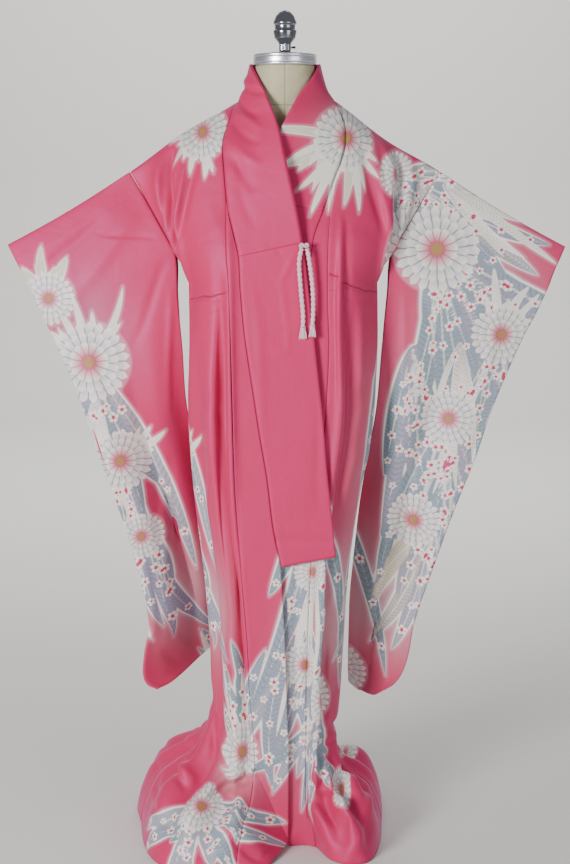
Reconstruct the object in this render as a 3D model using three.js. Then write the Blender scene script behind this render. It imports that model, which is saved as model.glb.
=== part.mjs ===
// A furisode (long-sleeved silk kimono) worn open-collared on a limbless dress form.
// Millimetres, +Z up. The origin is the centre of the form's foot, on the floor.
// The front faces -Y, so the wearer's right side is at -X.
import * as THREE from 'three';

// ---------------------------------------------------------------- driving dimensions
const clothThickness = 1.8;      // lined silk satin
const seamGap = 0.4;             // between two pieces sewn edge to edge
const layerGap = 0.35;           // between a piece and the one it lies on
const okumiTopZ = 1290;          // where the overlap panel starts on the collar seam, right front
const okumiTopLeftZ = 1315;      // the same on the left front
const underarmZ = 1127;          // top of the side seam
const shoulderSeamX = 306;       // top of the sleeve seam, from the centre
const shoulderSeamZ = 1341;
const backNeckZ = 1467;          // the collar seam at the centre back
const backNeckLevel = 0.1;       // the same, as a part of the way down from shoulder to underarm
const seamReach = 0.72;          // part of the armhole edge that the sleeve is sewn to
const ringDiameter = 124;
const ringBottomZ = 1546;
const ringHeight = 23;
const poleDiameter = 32;
const footDiameter = 226;
const footHeight = 20;
const torsoBottomZ = 800;
const lowestZ = clothThickness / 2 + 0.3;   // the hem's middle surface, just clear of the floor

// ---------------------------------------------------------------- tables and their curves
const table = (names, rows) => ({ names: names.split(' '), rows });

// Smooth curve through a table's rows: the first column is the key, the others are values.
function look(source, key, name) {
  const column = source.names.indexOf(name);
  const { rows } = source;
  const up = rows[rows.length - 1][0] > rows[0][0] ? 1 : -1;
  let i = 0;
  while (i < rows.length - 2 && (key - rows[i + 1][0]) * up > 0) i += 1;
  const slope = (k) => {
    const a = rows[Math.max(k - 1, 0)];
    const b = rows[Math.min(k + 1, rows.length - 1)];
    return (b[column] - a[column]) / (b[0] - a[0]);
  };
  const span = rows[i + 1][0] - rows[i][0];
  const t = Math.min(Math.max((key - rows[i][0]) / span, 0), 1);
  const t2 = t * t;
  const t3 = t2 * t;
  return (2 * t3 - 3 * t2 + 1) * rows[i][column] + (t3 - 2 * t2 + t) * span * slope(i)
    + (3 * t2 - 2 * t3) * rows[i + 1][column] + (t3 - t2) * span * slope(i + 1);
}

const mix = (a, b, t) => a + (b - a) * t;
const clamp = (x, low, high) => Math.min(Math.max(x, low), high);
const ease = (t) => { const c = clamp(t, 0, 1); return c * c * (3 - 2 * c); };
const bump = (x, width) => Math.exp(-((x / width) ** 2));
const steps = (count, from = 0, to = 1) => (
  Array.from({ length: count + 1 }, (_, i) => mix(from, to, i / count)));

// The collar strip: its sewn edge (seam) and its free edge, by station. Stations 0 to 18 run from
// the right front's end up to the centre back, and the rest go down the left front, under the right.
const collarRows = table('station seamX seamY seamZ edgeX edgeY edgeZ', [
  [0, -8, -138.5, 574, 100, -138.5, 594],
  [1, -24, -138, 655, 90, -138.5, 690],
  [2, -35, -137.5, 747, 81, -138, 775],
  [3, -49, -137, 830, 74, -138, 862],
  [4, -62, -136.5, 916, 65, -137.5, 945],
  [5, -78, -136, 1024, 54, -137, 1045],
  [6, -86, -134, 1110, 44, -136.5, 1125],
  [7, -90, -130, 1179, 34, -135, 1206],
  [8, -101, -119, 1226, 24, -130, 1264],
  [9, -111, -106, 1270, 10, -121, 1328],
  [10, -118, -87, 1343, -2, -107, 1382],
  [11, -121, -64, 1399, -10, -93, 1420],
  [12, -108, -36, 1442, -20, -78, 1450],
  [13, -99, -12, 1468, -37, -58, 1490],
  [14, -91, 8, 1479, -54, -36, 1525],
  [15, -79, 36, 1480, -65, -6, 1547],
  [16, -60, 60, 1476, -64, 30, 1552],
  [17, -33, 74, 1470, -42, 60, 1545],
  [18, 0, 79, 1467, 0, 72, 1541],
  [19, 33, 74, 1470, 42, 60, 1545],
  [20, 60, 60, 1476, 64, 30, 1552],
  [21, 78, 36, 1482, 65, -6, 1547],
  [22, 90, 8, 1484, 54, -36, 1525],
  [23, 100, -12, 1472, 27, -57, 1490],
  [24, 117, -40, 1432, 4, -76, 1448],
  [25, 116, -64, 1382, -14, -84, 1410],
  [26, 95, -86, 1325, -32, -94, 1358],
  [27, 74, -104, 1265, -46, -107, 1290],
  [28, 54, -118, 1207, -44, -117, 1200],
  [29, 45, -123, 1100, -18, -123, 1096],
  [30, 36, -124, 1000, -28, -124, 996],
  [31, 22, -125, 900, -42, -125, 896],
  [32, 10, -125.5, 800, -54, -125.5, 796],
  [33, -5, -126, 700, -68, -126, 695],
  [34, -20, -126, 585, -82, -126, 580],
]);
const collarHalfStation = 18;
const collarBow = 7;
const collarEnds = [0, 34];

// Each side of the body. The front overlap's sewn edge, its free edge below the collar, and the
// side's silhouette, all as X by height; then what the hem does on the floor.
const bodySides = {
  right: {
    sign: -1,
    okumiTop: okumiTopZ,
    ridgeStation: 13.7,
    shoulderBow: 8,
    seam: table('z x', [[1290, -113.5], [1179, -112], [1121, -108], [960, -103], [746, -98], [586, -88],
      [425, -75], [300, -69], [220, -62], [0, -56]]),
    free: table('z x', [[574, -8], [500, -4], [427, 0], [300, 4], [209, 7], [0, 7]]),
    side: table('z x', [[1127, -183], [1020, -187], [887, -191.5], [724, -182.5], [558, -163.5], [390, -150],
      [200, -149]]),
    frontY: -138.5,
    hem: table('u x y flare', [[-1, -32, -245, 14], [-0.6, -52, -255, 70], [0, -95, -262, 165],
      [0.15, -132, -268, 185], [0.4, -202, -258, 215], [0.6, -252, -218, 240], [0.8, -282, -130, 255],
      [1, -300, 0, 262]]),
    backHem: table('u x y flare', [[0, -44, 322, 200], [0.25, -185, 305, 220], [0.45, -268, 264, 240],
      [0.65, -308, 190, 255], [0.85, -315, 90, 262], [1, -300, 0, 262]]),
  },
  left: {
    sign: 1,
    okumiTop: okumiTopLeftZ,
    ridgeStation: 22.3,
    shoulderBow: -9,
    seam: table('z x', [[1315, 91.5], [1210, 83], [1095, 82], [1000, 85], [855, 77], [745, 64], [585, 52],
      [427, 45], [222, 42], [0, 42]]),
    free: table('z x', [[585, -20], [430, -30], [220, -40], [0, -45]]),
    side: table('z x', [[1127, 175.5], [1088, 178], [1000, 182], [887, 179.5], [785, 168], [724, 154],
      [558, 128.6], [390, 117], [263, 108], [200, 96]]),
    frontY: -126,
    hem: table('u x y flare', [[-1, -46, -130, 40], [-0.5, 5, -131, 50], [0, 62, -140, 100],
      [0.15, 92, -208, 150], [0.4, 140, -228, 190], [0.6, 172, -200, 195], [0.8, 192, -110, 200],
      [1, 201, 0, 200]]),
    backHem: table('u x y flare', [[0, -44, 322, 200], [0.2, 90, 315, 200], [0.4, 168, 277, 200],
      [0.6, 205, 205, 200], [0.8, 207, 110, 200], [1, 201, 0, 200]]),
  },
};

const backLine = table('z x y', [[1467, 0, 79], [1430, 0, 92], [1380, 0, 104], [1300, 0, 109], [1180, 0, 106],
  [1050, -2, 112], [900, -5, 124], [700, -9, 128], [450, -15, 126], [250, -20, 122], [150, -22, 120]]);

// How pooled cloth leaves the column: it slopes out, piles up, then drops to the floor at the hem.
const poolShape = table('along out rise', [[0, 0, 1], [0.14, 0.1, 0.8], [0.3, 0.26, 0.62], [0.5, 0.5, 0.52],
  [0.7, 0.75, 0.4], [0.85, 0.92, 0.2], [0.94, 0.98, 0.07], [1, 1, 0]]);

// Long folds down the body: across is measured from the front seam (or centre back) to the side.
// Height is + for a ridge and - for a trough.
const longFolds = {
  right: table('across drift width height from to', [
    [0.11, 0.02, 0.06, -20, 1120, 200],
    [0.27, -0.02, 0.09, 7, 1100, 250],
    [0.56, 0.05, 0.1, -9, 1050, 250],
    [0.8, 0, 0.09, 5, 1100, 250]]),
  left: table('across drift width height from to', [
    [0.17, 0.04, 0.06, 8, 1250, 260],
    [0.32, 0.05, 0.08, -13, 1150, 220],
    [0.72, 0, 0.12, 6, 1150, 250]]),
};
const backFolds = table('across drift width height from to', [
  [0.16, 0.03, 0.08, -9, 1050, 150],
  [0.34, 0.02, 0.08, 8, 1200, 150],
  [0.53, -0.03, 0.09, -13, 1000, 150],
  [0.74, 0, 0.08, 6, 1000, 150]]);
// Pleats that run from the shoulder to the underarm.
const shoulderFolds = table('topAcross endAcross width height', [
  [0.4, 0.86, 0.07, 9],
  [0.56, 0.95, 0.05, -15],
  [0.72, 1.02, 0.06, 6]]);
// Buckles of the pooled hem, counted round each panel.
const poolBuckles = { count: 3, lift: 16, sway: 9 };

// ---------------------------------------------------------------- surfaces of the cloth
function collarPoint(station, across) {
  const at = (name) => look(collarRows, station, name);
  const point = new THREE.Vector3(
    mix(at('seamX'), at('edgeX'), across),
    mix(at('seamY'), at('edgeY'), across),
    mix(at('seamZ'), at('edgeZ'), across),
  );
  // the standing part behind the neck bows out between its two edges
  const out = collarBow * bump(station - collarHalfStation, 4) * Math.sin(Math.PI * across);
  const radial = new THREE.Vector2(point.x, point.y).normalize();
  return point.add(new THREE.Vector3(radial.x * out, radial.y * out, 0));
}

const collarEnd = (side) => collarEnds[side.sign < 0 ? 0 : 1];
const collarEndZ = (side) => look(collarRows, collarEnd(side), 'seamZ');

// Station of the collar seam at a height on one front.
function stationAt(side, z) {
  let low = collarEnd(side);
  let high = side.ridgeStation;
  for (let i = 0; i < 26; i += 1) {
    const middle = (low + high) / 2;
    if (look(collarRows, middle, 'seamZ') < z) low = middle; else high = middle;
  }
  return (low + high) / 2;
}

// The front plane's Y by height: the collar seam's, which the front panels share.
function frontDepth(side, z) {
  return z < collarEndZ(side) ? side.frontY : look(collarRows, stationAt(side, z), 'seamY');
}

function frontSeamX(side, z) {
  return z > side.okumiTop ? look(collarRows, stationAt(side, z), 'seamX') : look(side.seam, z, 'x');
}

function freeEdgeX(side, z) {
  return z < collarEndZ(side) ? look(side.free, z, 'x') : look(collarRows, stationAt(side, z), 'seamX');
}

// Half of the body's section at a height: a quarter of an oval from the seam round to the side.
function sectionPoint(side, face, u, z) {
  const sideX = look(side.side, z, 'x');
  const angle = clamp(u, 0, 1) * Math.PI / 2;
  const innerX = face < 0 ? frontSeamX(side, z) : look(backLine, z, 'x');
  const depth = face < 0 ? frontDepth(side, z) : look(backLine, z, 'y');
  if (u < 0) {   // the overlap panel, flat in the front plane
    return new THREE.Vector3(mix(innerX, freeEdgeX(side, z), -u), depth, z);
  }
  const slit = sideSlit(z);
  return new THREE.Vector3(
    mix(innerX, sideX, Math.sin(angle)),
    face * (slit + (Math.abs(depth) - slit) * Math.cos(angle)),
    z,
  );
}

// Half of the opening at the side: a hair's breadth along the side seam, wide under the arm.
function sideSlit(z) {
  return 15.2 * ease((z - 1040) / 85);
}

function foldHeight(folds, u, z) {
  return folds.rows.reduce((sum, [across, drift, width, height, from, to]) => {
    const run = clamp((from - z) / (from - to), 0, 1);
    const strength = ease((from - z) / 220);
    return sum + height * strength * bump(u - across - drift * run, width);
  }, 0);
}

// One point of a body panel. level: 0 shoulder ridge, 1 underarm, 2 start of the pool, 3 hem.
function bodyPoint(side, face, u, level) {
  const hemTable = face < 0 ? side.hem : side.backHem;
  if (level <= 1) {
    const reach = side.sign * shoulderSeamX;
    const ridgeSeam = look(collarRows, side.ridgeStation, 'seamX');
    const ridgeZ = look(collarRows, side.ridgeStation, 'seamZ');
    let innerX;
    let innerY;
    let innerZ = mix(ridgeZ, underarmZ, level);
    if (face < 0) {
      innerX = frontSeamX(side, innerZ);
      innerY = frontDepth(side, innerZ);
    } else {   // the back neckline runs round to the centre back, then straight down
      const round = clamp(level / backNeckLevel, 0, 1);
      const station = mix(side.ridgeStation, collarHalfStation, round);
      const below = clamp((level - backNeckLevel) / (1 - backNeckLevel), 0, 1);
      innerZ = round < 1 ? look(collarRows, station, 'seamZ') : mix(backNeckZ, underarmZ, below);
      innerX = round < 1 ? look(collarRows, station, 'seamX') : 0;
      innerY = round < 1 ? look(collarRows, station, 'seamY') : look(backLine, innerZ, 'y');
    }
    const angle = u * Math.PI / 2;
    const across = mix(u, Math.sin(angle), level);
    const outerX = mix(reach, look(side.side, underarmZ, 'x'), level);
    const edge = armholeHalf(level);
    const shoulderZ = mix(ridgeZ, shoulderSeamZ, u) + side.shoulderBow * Math.sin(Math.PI * u) ** 2;
    const neckDrop = (innerZ - mix(ridgeZ, underarmZ, level)) * (1 - ease(u / 0.35));
    const startZ = mix(shoulderZ, underarmZ, level) + neckDrop;
    const startX = mix(innerX, outerX, across);
    const outward = mix(innerY * face, edge, 1 - Math.cos(angle));
    return new THREE.Vector3(startX, face * outward, startZ);
  }
  const flare = look(hemTable, u, 'flare');
  const z = level <= 2 ? mix(underarmZ, flare, level - 1) : flare;
  const column = sectionPoint(side, face, u, z);
  if (level <= 2) return column;
  const along = level - 2;
  const out = look(poolShape, along, 'out');
  return new THREE.Vector3(
    mix(column.x, look(hemTable, u, 'x'), out),
    mix(column.y, look(hemTable, u, 'y'), out),
    lowestZ + (flare - lowestZ) * look(poolShape, along, 'rise'),
  );
}

// Half of the armhole's width from the shoulder (0) to the underarm (1).
function armholeHalf(level) {
  return 1.7 + 26.5 * ease(level / seamReach) - 13 * ease((level - seamReach) / (1 - seamReach));
}

// Body surface with its folds: each point moves out along the plain surface's own direction.
function foldedBody(side, face, u, level) {
  const plain = bodyPoint(side, face, u, level);
  const normal = surfaceNormal((a, b) => bodyPoint(side, face, a, b), u, level, face * side.sign);
  let height = 0;
  if (u > 0) {
    const folds = face < 0 ? longFolds[side.sign < 0 ? 'right' : 'left'] : backFolds;
    const edgeFade = ease(u / 0.05) * ease((1 - u) / 0.08);
    height += foldHeight(folds, u, plain.z) * edgeFade * (level > 2 ? 1 - ease((level - 2) / 0.6) : 1);
    if (level < 1.25) {
      const run = clamp(level, 0, 1);
      const strength = ease(level / 0.2) * (1 - ease((level - 0.95) / 0.3));
      shoulderFolds.rows.forEach(([top, end, width, rise]) => {
        height += rise * strength * edgeFade * bump(u - mix(top, end, run), width);
      });
    }
  }
  const point = plain.addScaledVector(normal, height);
  if (level > 2 && u > 0) {
    const along = level - 2;
    const pile = Math.sin(Math.PI * clamp(along, 0, 1)) ** 1.5 * ease(u / 0.12) * ease((1 - u) / 0.12);
    const wave = Math.cos(2 * Math.PI * (poolBuckles.count * u + 0.25 * face));
    point.z += poolBuckles.lift * pile * wave;
    point.addScaledVector(new THREE.Vector3(normal.x, normal.y, 0), poolBuckles.sway * pile * wave);
  }
  point.z = Math.max(point.z, lowestZ);
  return point;
}

const derivativeStep = 1e-3;
function surfaceNormal(surface, u, v, turn) {
  const e = derivativeStep;
  const du = surface(u + e, v).sub(surface(u - e, v));
  const dv = surface(u, v + e).sub(surface(u, v - e));
  const normal = new THREE.Vector3().crossVectors(du, dv);
  if (normal.lengthSq() < 1e-18) return new THREE.Vector3(0, 0, 1);
  return normal.normalize().multiplyScalar(turn);
}

// Sleeves: the inner edge follows the armhole and then hangs free, the outer edge has the cuff at
// the top and is sewn below it. along: 0 the fold on top, 1 the bottom seam.
const sleeveSides = {
  right: {
    sign: -1,
    body: bodySides.right,
    rows: table('along innerX innerY innerZ outerX outerY outerZ open', [
      [0, -306, 0, 1341, -551, 0, 1198, 12],
      [0.09, -262, 0, 1264, -524, 0, 1146, 20],
      [0.18, -218.6, 0, 1187, -501, 0, 1100, 27],
      [0.27, -214, 2, 1098, -468, -2, 1022, 24],
      [0.37, -208, 10, 1000, -432, -8, 939, 20],
      [0.47, -206, 38, 885, -400, -14, 856, 20],
      [0.56, -195, 80, 801, -374, -20, 774, 20],
      [0.68, -176, 116, 684, -328, -20, 645, 20],
      [0.79, -152, 150, 573, -298, -20, 540, 19],
      [0.88, -138, 172, 480, -277, -20, 430, 17],
      [0.92, -132, 180, 440, -287, -20, 368, 14],
      [0.955, -128, 185, 408, -290, -20, 322, 10],
      [0.98, -125, 188, 386, -281, -18, 296, 6],
      [1, -122, 190, 372, -262, -14, 284, 3],
    ]),
  },
  left: {
    sign: 1,
    body: bodySides.left,
    rows: table('along innerX innerY innerZ outerX outerY outerZ open', [
      [0, 306, 0, 1341, 557, 0, 1194, 12],
      [0.09, 259, 0, 1264, 536, 0, 1148, 20],
      [0.18, 213.2, 0, 1187, 519, 0, 1104, 27],
      [0.27, 204, 2, 1098, 482, 0, 1024, 24],
      [0.37, 195, 9, 1000, 448, 0, 946, 20],
      [0.47, 189, 28, 885, 416, -4, 866, 20],
      [0.56, 181, 54, 801, 386, -10, 776, 20],
      [0.68, 168, 86, 684, 341, -20, 663, 20],
      [0.79, 160, 110, 573, 300, -20, 545, 19],
      [0.88, 150, 118, 460, 263, -18, 430, 17],
      [0.92, 146, 118, 392, 253, -14, 368, 14],
      [0.955, 142, 118, 335, 240, -8, 322, 10],
      [0.98, 139, 118, 296, 222, -2, 292, 6],
      [1, 136, 118, 268, 196, 6, 273, 3],
    ]),
  },
};
const armholeGap = 0.9;
const topSag = 5;                // how far the fold on top hangs below a straight line
const bottomSag = 9;             // the same for the bottom seam
const sleeveSeamReach = 0.18;   // length sewn to the body, as a part of the sleeve's length
const cuffReach = 0.23;         // length of the cuff opening, as a part of the sleeve's length
const sleeveFolds = table('across drift width height from', [
  [0.22, 0.05, 0.12, 16, 0.2],
  [0.55, -0.1, 0.13, -20, 0.3],
  [0.82, -0.05, 0.1, 10, 0.35]]);

// The sleeve's middle surface, between its front and back sheets.
function sleeveMiddle(side, u, along) {
  const at = (name) => look(side.rows, along, name);
  const inner = new THREE.Vector3(at('innerX'), at('innerY'), at('innerZ'));
  if (along < sleeveSeamReach) {   // straight down the armhole, a seam's gap from the body
    const level = seamReach * along / sleeveSeamReach;
    const edgeX = mix(side.sign * shoulderSeamX, look(side.body.side, underarmZ, 'x'), level);
    inner.set(edgeX + side.sign * armholeGap, 0, mix(shoulderSeamZ, underarmZ, level));
  }
  const point = new THREE.Vector3(
    mix(inner.x, at('outerX'), u),
    mix(inner.y, at('outerY'), u),
    mix(inner.z, at('outerZ'), u),
  );
  sleeveFolds.rows.forEach(([across, drift, width, height, from]) => {
    const strength = ease((along - from) / 0.35) * (1 - 0.65 * ease((along - 0.75) / 0.25));
    point.y -= height * strength * bump(u - across - drift * along, width);
  });
  point.z -= (topSag * bump(along, 0.12) + bottomSag * ease((along - 0.85) / 0.15)) * Math.sin(Math.PI * u);
  return point;
}

function sleevePoint(side, face, u, along) {
  const middle = sleeveMiddle(side, u, along);
  const inside = Math.min(along, 1 - 2 * derivativeStep);   // the tables end at 1
  const normal = surfaceNormal((a, b) => sleeveMiddle(side, a, b), u, inside, 1);
  if (normal.y * face < 0) normal.negate();
  const sewn = clothThickness / 2 + seamGap / 2 + 0.5;
  const cuff = 1 - ease((along - cuffReach) / 0.05);
  const roundness = mix(1 - Math.abs(u) ** 2.4, 1 - 0.5 * u * u, cuff);
  const top = Math.sqrt(clamp(along / 0.05, 0, 1));
  const free = sewn * top + (look(side.rows, along, 'open') - sewn) * roundness * top;
  // where it is sewn to the body it has the armhole's own width
  const seamPart = along / sleeveSeamReach;
  const sewnOn = (1 - ease(u / 0.3)) * (1 - ease((seamPart - 1) / 0.4));
  const half = mix(free, armholeHalf(Math.min(seamPart, 1) * seamReach), sewnOn);
  return middle.addScaledVector(normal, half);
}

// ---------------------------------------------------------------- solids
// Which way the wall's outer face lies from a grid point: square to the cloth round it, and longer
// than 1 where the cloth bends, so that the wall keeps its thickness.
function outwardAt(grid, r, c, turn) {
  const normals = [];
  [r - 1, r].forEach((i) => [c - 1, c].forEach((j) => {
    if (i < 0 || j < 0 || i > grid.length - 2 || j > grid[0].length - 2) return;
    const down = grid[i + 1][j + 1].clone().sub(grid[i][j]);
    const up = grid[i + 1][j].clone().sub(grid[i][j + 1]);
    normals.push(down.cross(up).normalize());
  }));
  const sum = normals.reduce((total, normal) => total.add(normal), new THREE.Vector3()).normalize();
  const slant = normals.reduce((total, normal) => total + normal.dot(sum), 0) / normals.length;
  return sum.multiplyScalar(turn / Math.max(slant, steepestMitre));
}

// A closed wall on a grid of surface points: rows by columns, offset half its thickness each way.
const steepestMitre = 0.6;
function wall(surface, rowKeys, columnKeys, thickness, turn = 1) {
  const positions = [];
  const columns = columnKeys.length;
  const rows = rowKeys.length;
  const grid = rowKeys.map((v) => columnKeys.map((u) => surface(u, v)));
  [1, -1].forEach((layer) => rowKeys.forEach((v, r) => columnKeys.forEach((u, c) => {
    const edge = r === 0 || c === 0 || r === rows - 1 || c === columns - 1;
    const outward = edge ? surfaceNormal(surface, u, v, turn) : outwardAt(grid, r, c, turn);
    const point = grid[r][c].clone().addScaledVector(outward, layer * thickness / 2);
    positions.push(point.x, point.y, point.z);
  })));
  const at = (layer, r, c) => layer * rows * columns + r * columns + c;
  const faces = [];
  const quad = (a, b, c, d) => faces.push(a, b, c, a, c, d);
  for (let r = 0; r < rows - 1; r += 1) {
    for (let c = 0; c < columns - 1; c += 1) {
      quad(at(0, r, c), at(0, r, c + 1), at(0, r + 1, c + 1), at(0, r + 1, c));
      quad(at(1, r, c), at(1, r + 1, c), at(1, r + 1, c + 1), at(1, r, c + 1));
    }
  }
  for (let c = 0; c < columns - 1; c += 1) {
    quad(at(1, 0, c), at(1, 0, c + 1), at(0, 0, c + 1), at(0, 0, c));
    quad(at(0, rows - 1, c), at(0, rows - 1, c + 1), at(1, rows - 1, c + 1), at(1, rows - 1, c));
  }
  for (let r = 0; r < rows - 1; r += 1) {
    quad(at(0, r, 0), at(0, r + 1, 0), at(1, r + 1, 0), at(1, r, 0));
    quad(at(1, r, columns - 1), at(1, r + 1, columns - 1), at(0, r + 1, columns - 1), at(0, r, columns - 1));
  }
  return solidFrom(positions, faces);
}

// Geometry with its faces turned outward.
function solidFrom(positions, faces) {
  const corner = (i) => new THREE.Vector3().fromArray(positions, 3 * i);
  let volume = 0;
  for (let i = 0; i < faces.length; i += 3) {
    volume += corner(faces[i]).dot(corner(faces[i + 1]).cross(corner(faces[i + 2])));
  }
  if (volume < 0) faces.reverse();
  const geometry = new THREE.BufferGeometry();
  geometry.setAttribute('position', new THREE.Float32BufferAttribute(positions, 3));
  geometry.setIndex(faces);
  geometry.computeVertexNormals();
  return geometry;
}

// A closed solid lofted through oval sections, with flat ends.
function loft(sections, segments) {
  const positions = [];
  sections.forEach(({ z, half, front, back }) => {
    for (let s = 0; s < segments; s += 1) {
      const angle = 2 * Math.PI * s / segments;
      const depth = Math.sin(angle) < 0 ? front : back;
      positions.push(half * Math.cos(angle), depth * Math.sin(angle), z);
    }
  });
  const faces = [];
  const last = sections.length - 1;
  for (let r = 0; r < last; r += 1) {
    for (let s = 0; s < segments; s += 1) {
      const a = r * segments + s;
      const b = r * segments + (s + 1) % segments;
      faces.push(a, b, b + segments, a, b + segments, a + segments);
    }
  }
  positions.push(0, 0, sections[0].z, 0, 0, sections[last].z);
  const bottom = sections.length * segments;
  for (let s = 0; s < segments; s += 1) {
    const next = (s + 1) % segments;
    faces.push(bottom, next, s, bottom + 1, last * segments + s, last * segments + next);
  }
  return solidFrom(positions, faces);
}

// A closed tube along hand-placed points.
function tube(points, diameter, sides, lengthSteps) {
  const path = new THREE.CatmullRomCurve3(points.map(([x, y, z]) => new THREE.Vector3(x, y, z)));
  const section = new THREE.Shape();
  steps(sides - 1, 0, 2 * Math.PI * (sides - 1) / sides).forEach((angle, i) => {
    const [x, y] = [Math.cos(angle) * diameter / 2, Math.sin(angle) * diameter / 2];
    if (i === 0) section.moveTo(x, y); else section.lineTo(x, y);
  });
  return new THREE.ExtrudeGeometry(section, { steps: lengthSteps, extrudePath: path });
}

function turned(profile, segments) {
  const geometry = new THREE.LatheGeometry(profile.map(([r, z]) => new THREE.Vector2(r, z)), segments);
  return geometry.rotateX(Math.PI / 2);
}

const part = new THREE.Group();
function add(name, geometry, colour, roughness, metalness = 0) {
  const material = new THREE.MeshStandardMaterial({ color: colour, roughness, metalness });
  const mesh = new THREE.Mesh(geometry, material);
  mesh.name = name;
  part.add(mesh);
  return mesh;
}

const silkPink = 0xd0627c;
const clothRoughness = 0.45;

// ---------------------------------------------------------------- body and overlap panels
const acrossFront = [0, 0.05, 0.11, 0.17, 0.25, 0.35, 0.46, 0.57, 0.68, 0.79, 0.89, 1];
const topLevels = [0.04, 0.1, 0.2, 0.32, 0.46, 0.6, 0.74, 0.87, 1];
const columnLevels = steps(8, 1, 2).slice(1);
const poolLevels = [0.13, 0.27, 0.41, 0.55, 0.7, 0.84, 0.94, 1].map((along) => 2 + along);
const neckLevels = [0.02, 0.04, 0.06, 0.08, 0.1];   // round the back of the neck
const okumiPointDrop = 14;       // the overlap panel's top point starts this far below its seam's top

// Signed levels: minus on the front, plus on the back, 0 on the shoulder ridge, midway between them.
function tentBody(side) {
  return (u, signedLevel) => {
    const shrink = seamGap / 2 / 150;
    const across = mix(shrink, 1 - shrink, u);
    const on = (face) => foldedBody(side, face, across, Math.abs(signedLevel));
    return signedLevel === 0 ? on(-1).lerp(on(1), 0.5) : on(Math.sign(signedLevel));
  };
}

const okumiStart = (side) => {
  const ridgeZ = look(collarRows, side.ridgeStation, 'seamZ');
  return (ridgeZ - side.okumiTop + okumiPointDrop) / (ridgeZ - underarmZ);
};
// rows of the front, which the body, the overlap panel and the collar share at their seams
const frontTopLevels = (side) => {
  const start = okumiStart(side);
  return [...topLevels.filter((level) => Math.abs(level - start) > 0.03), start].sort((a, b) => a - b);
};
const backTopLevels = [...neckLevels, ...topLevels.filter((level) => level > backNeckLevel + 0.01)];

Object.entries(bodySides).forEach(([name, side]) => {
  const front = [...frontTopLevels(side), ...columnLevels, ...poolLevels];
  const back = [...backTopLevels, ...columnLevels, ...poolLevels];
  const keys = [...front.map((v) => -v).reverse(), 0, ...back];
  add(`body_${name}`, wall(tentBody(side), keys, acrossFront, clothThickness), silkPink, clothRoughness);
});

const okumiAcross = [-1, -0.67, -0.33, 0];
Object.entries(bodySides).forEach(([name, side]) => {
  const start = okumiStart(side);
  const levels = [...frontTopLevels(side).filter((level) => level >= start), ...columnLevels, ...poolLevels];
  const surface = (u, level) => {
    const shrink = seamGap / 2 / 60;
    return okumiPoint(side, mix(-shrink, -1 + shrink, -u), level);
  };
  add(`okumi_${name}`, wall(surface, levels, okumiAcross, clothThickness), silkPink, clothRoughness);
});

function okumiPoint(side, u, level) {
  if (level <= 1) {
    const ridgeZ = look(collarRows, side.ridgeStation, 'seamZ');
    return sectionPoint(side, -1, u, mix(ridgeZ, underarmZ, level));
  }
  return bodyPoint(side, -1, u, level);
}

// ---------------------------------------------------------------- collar and over-collar
const collarAcross = [0, 0.33, 0.67, 1];
// stations at the rows of the panels that the collar is sewn to
function frontStations(side) {
  const ridgeZ = look(collarRows, side.ridgeStation, 'seamZ');
  const onBody = frontTopLevels(side).map((level) => mix(ridgeZ, underarmZ, level));
  const flare = look(side.hem, -1, 'flare');
  const onOkumi = columnLevels.map((level) => mix(underarmZ, flare, level - 1));
  const heights = [...onBody, ...onOkumi].filter((z) => z > collarEndZ(side) + 20);
  return heights.map((z) => stationAt(side, z));
}
const neckStations = neckLevels.map((level) => level / backNeckLevel);
const collarKeys = [
  collarEnds[0],
  ...frontStations(bodySides.right).reverse(),
  bodySides.right.ridgeStation,
  ...neckStations.map((t) => mix(bodySides.right.ridgeStation, collarHalfStation, t)),
  ...neckStations.slice(0, -1).reverse().map((t) => mix(bodySides.left.ridgeStation, collarHalfStation, t)),
  bodySides.left.ridgeStation,
  ...frontStations(bodySides.left),
  collarEnds[1],
];
const collarWidth = 110;
const neckClearance = (station) => mix(0.5, 1.9, bump(station - collarHalfStation, 5));
const collarSurface = (u, station) => collarPoint(station, mix(neckClearance(station) / collarWidth, 1, u));
add('collar', wall(collarSurface, collarKeys, collarAcross, clothThickness), silkPink, clothRoughness);

const overCollarThickness = 1.2;
const overCollarEnds = [7, 27];
const overCollarKeys = [
  overCollarEnds[0],
  ...collarKeys.filter((key) => key > overCollarEnds[0] + 0.1 && key < overCollarEnds[1] - 0.1),
  overCollarEnds[1],
];
// which way the collar's surface direction must turn to point outward, away from the neck
const outwardTurn = Math.sign(surfaceNormal(collarSurface, 0.5, collarHalfStation, 1).y);
// the strip lies closest where it is flat, and stands off a little where it turns round the neck
const overCollarSurface = (u, station) => {
  const onNeck = bump(station - collarHalfStation, 5);
  const twist = bump(Math.abs(station - collarHalfStation) - 4, 1.6);
  const across = mix(0.012 + 0.05 * onNeck, 0.988, u);
  const normal = surfaceNormal(collarSurface, across, station, outwardTurn);
  const lift = (clothThickness + overCollarThickness) / 2 + layerGap + 0.4 * onNeck + 0.9 * twist;
  return collarSurface(across, station).addScaledVector(normal, lift);
};
add('over_collar', wall(overCollarSurface, overCollarKeys, collarAcross, overCollarThickness), silkPink,
  clothRoughness);

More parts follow.
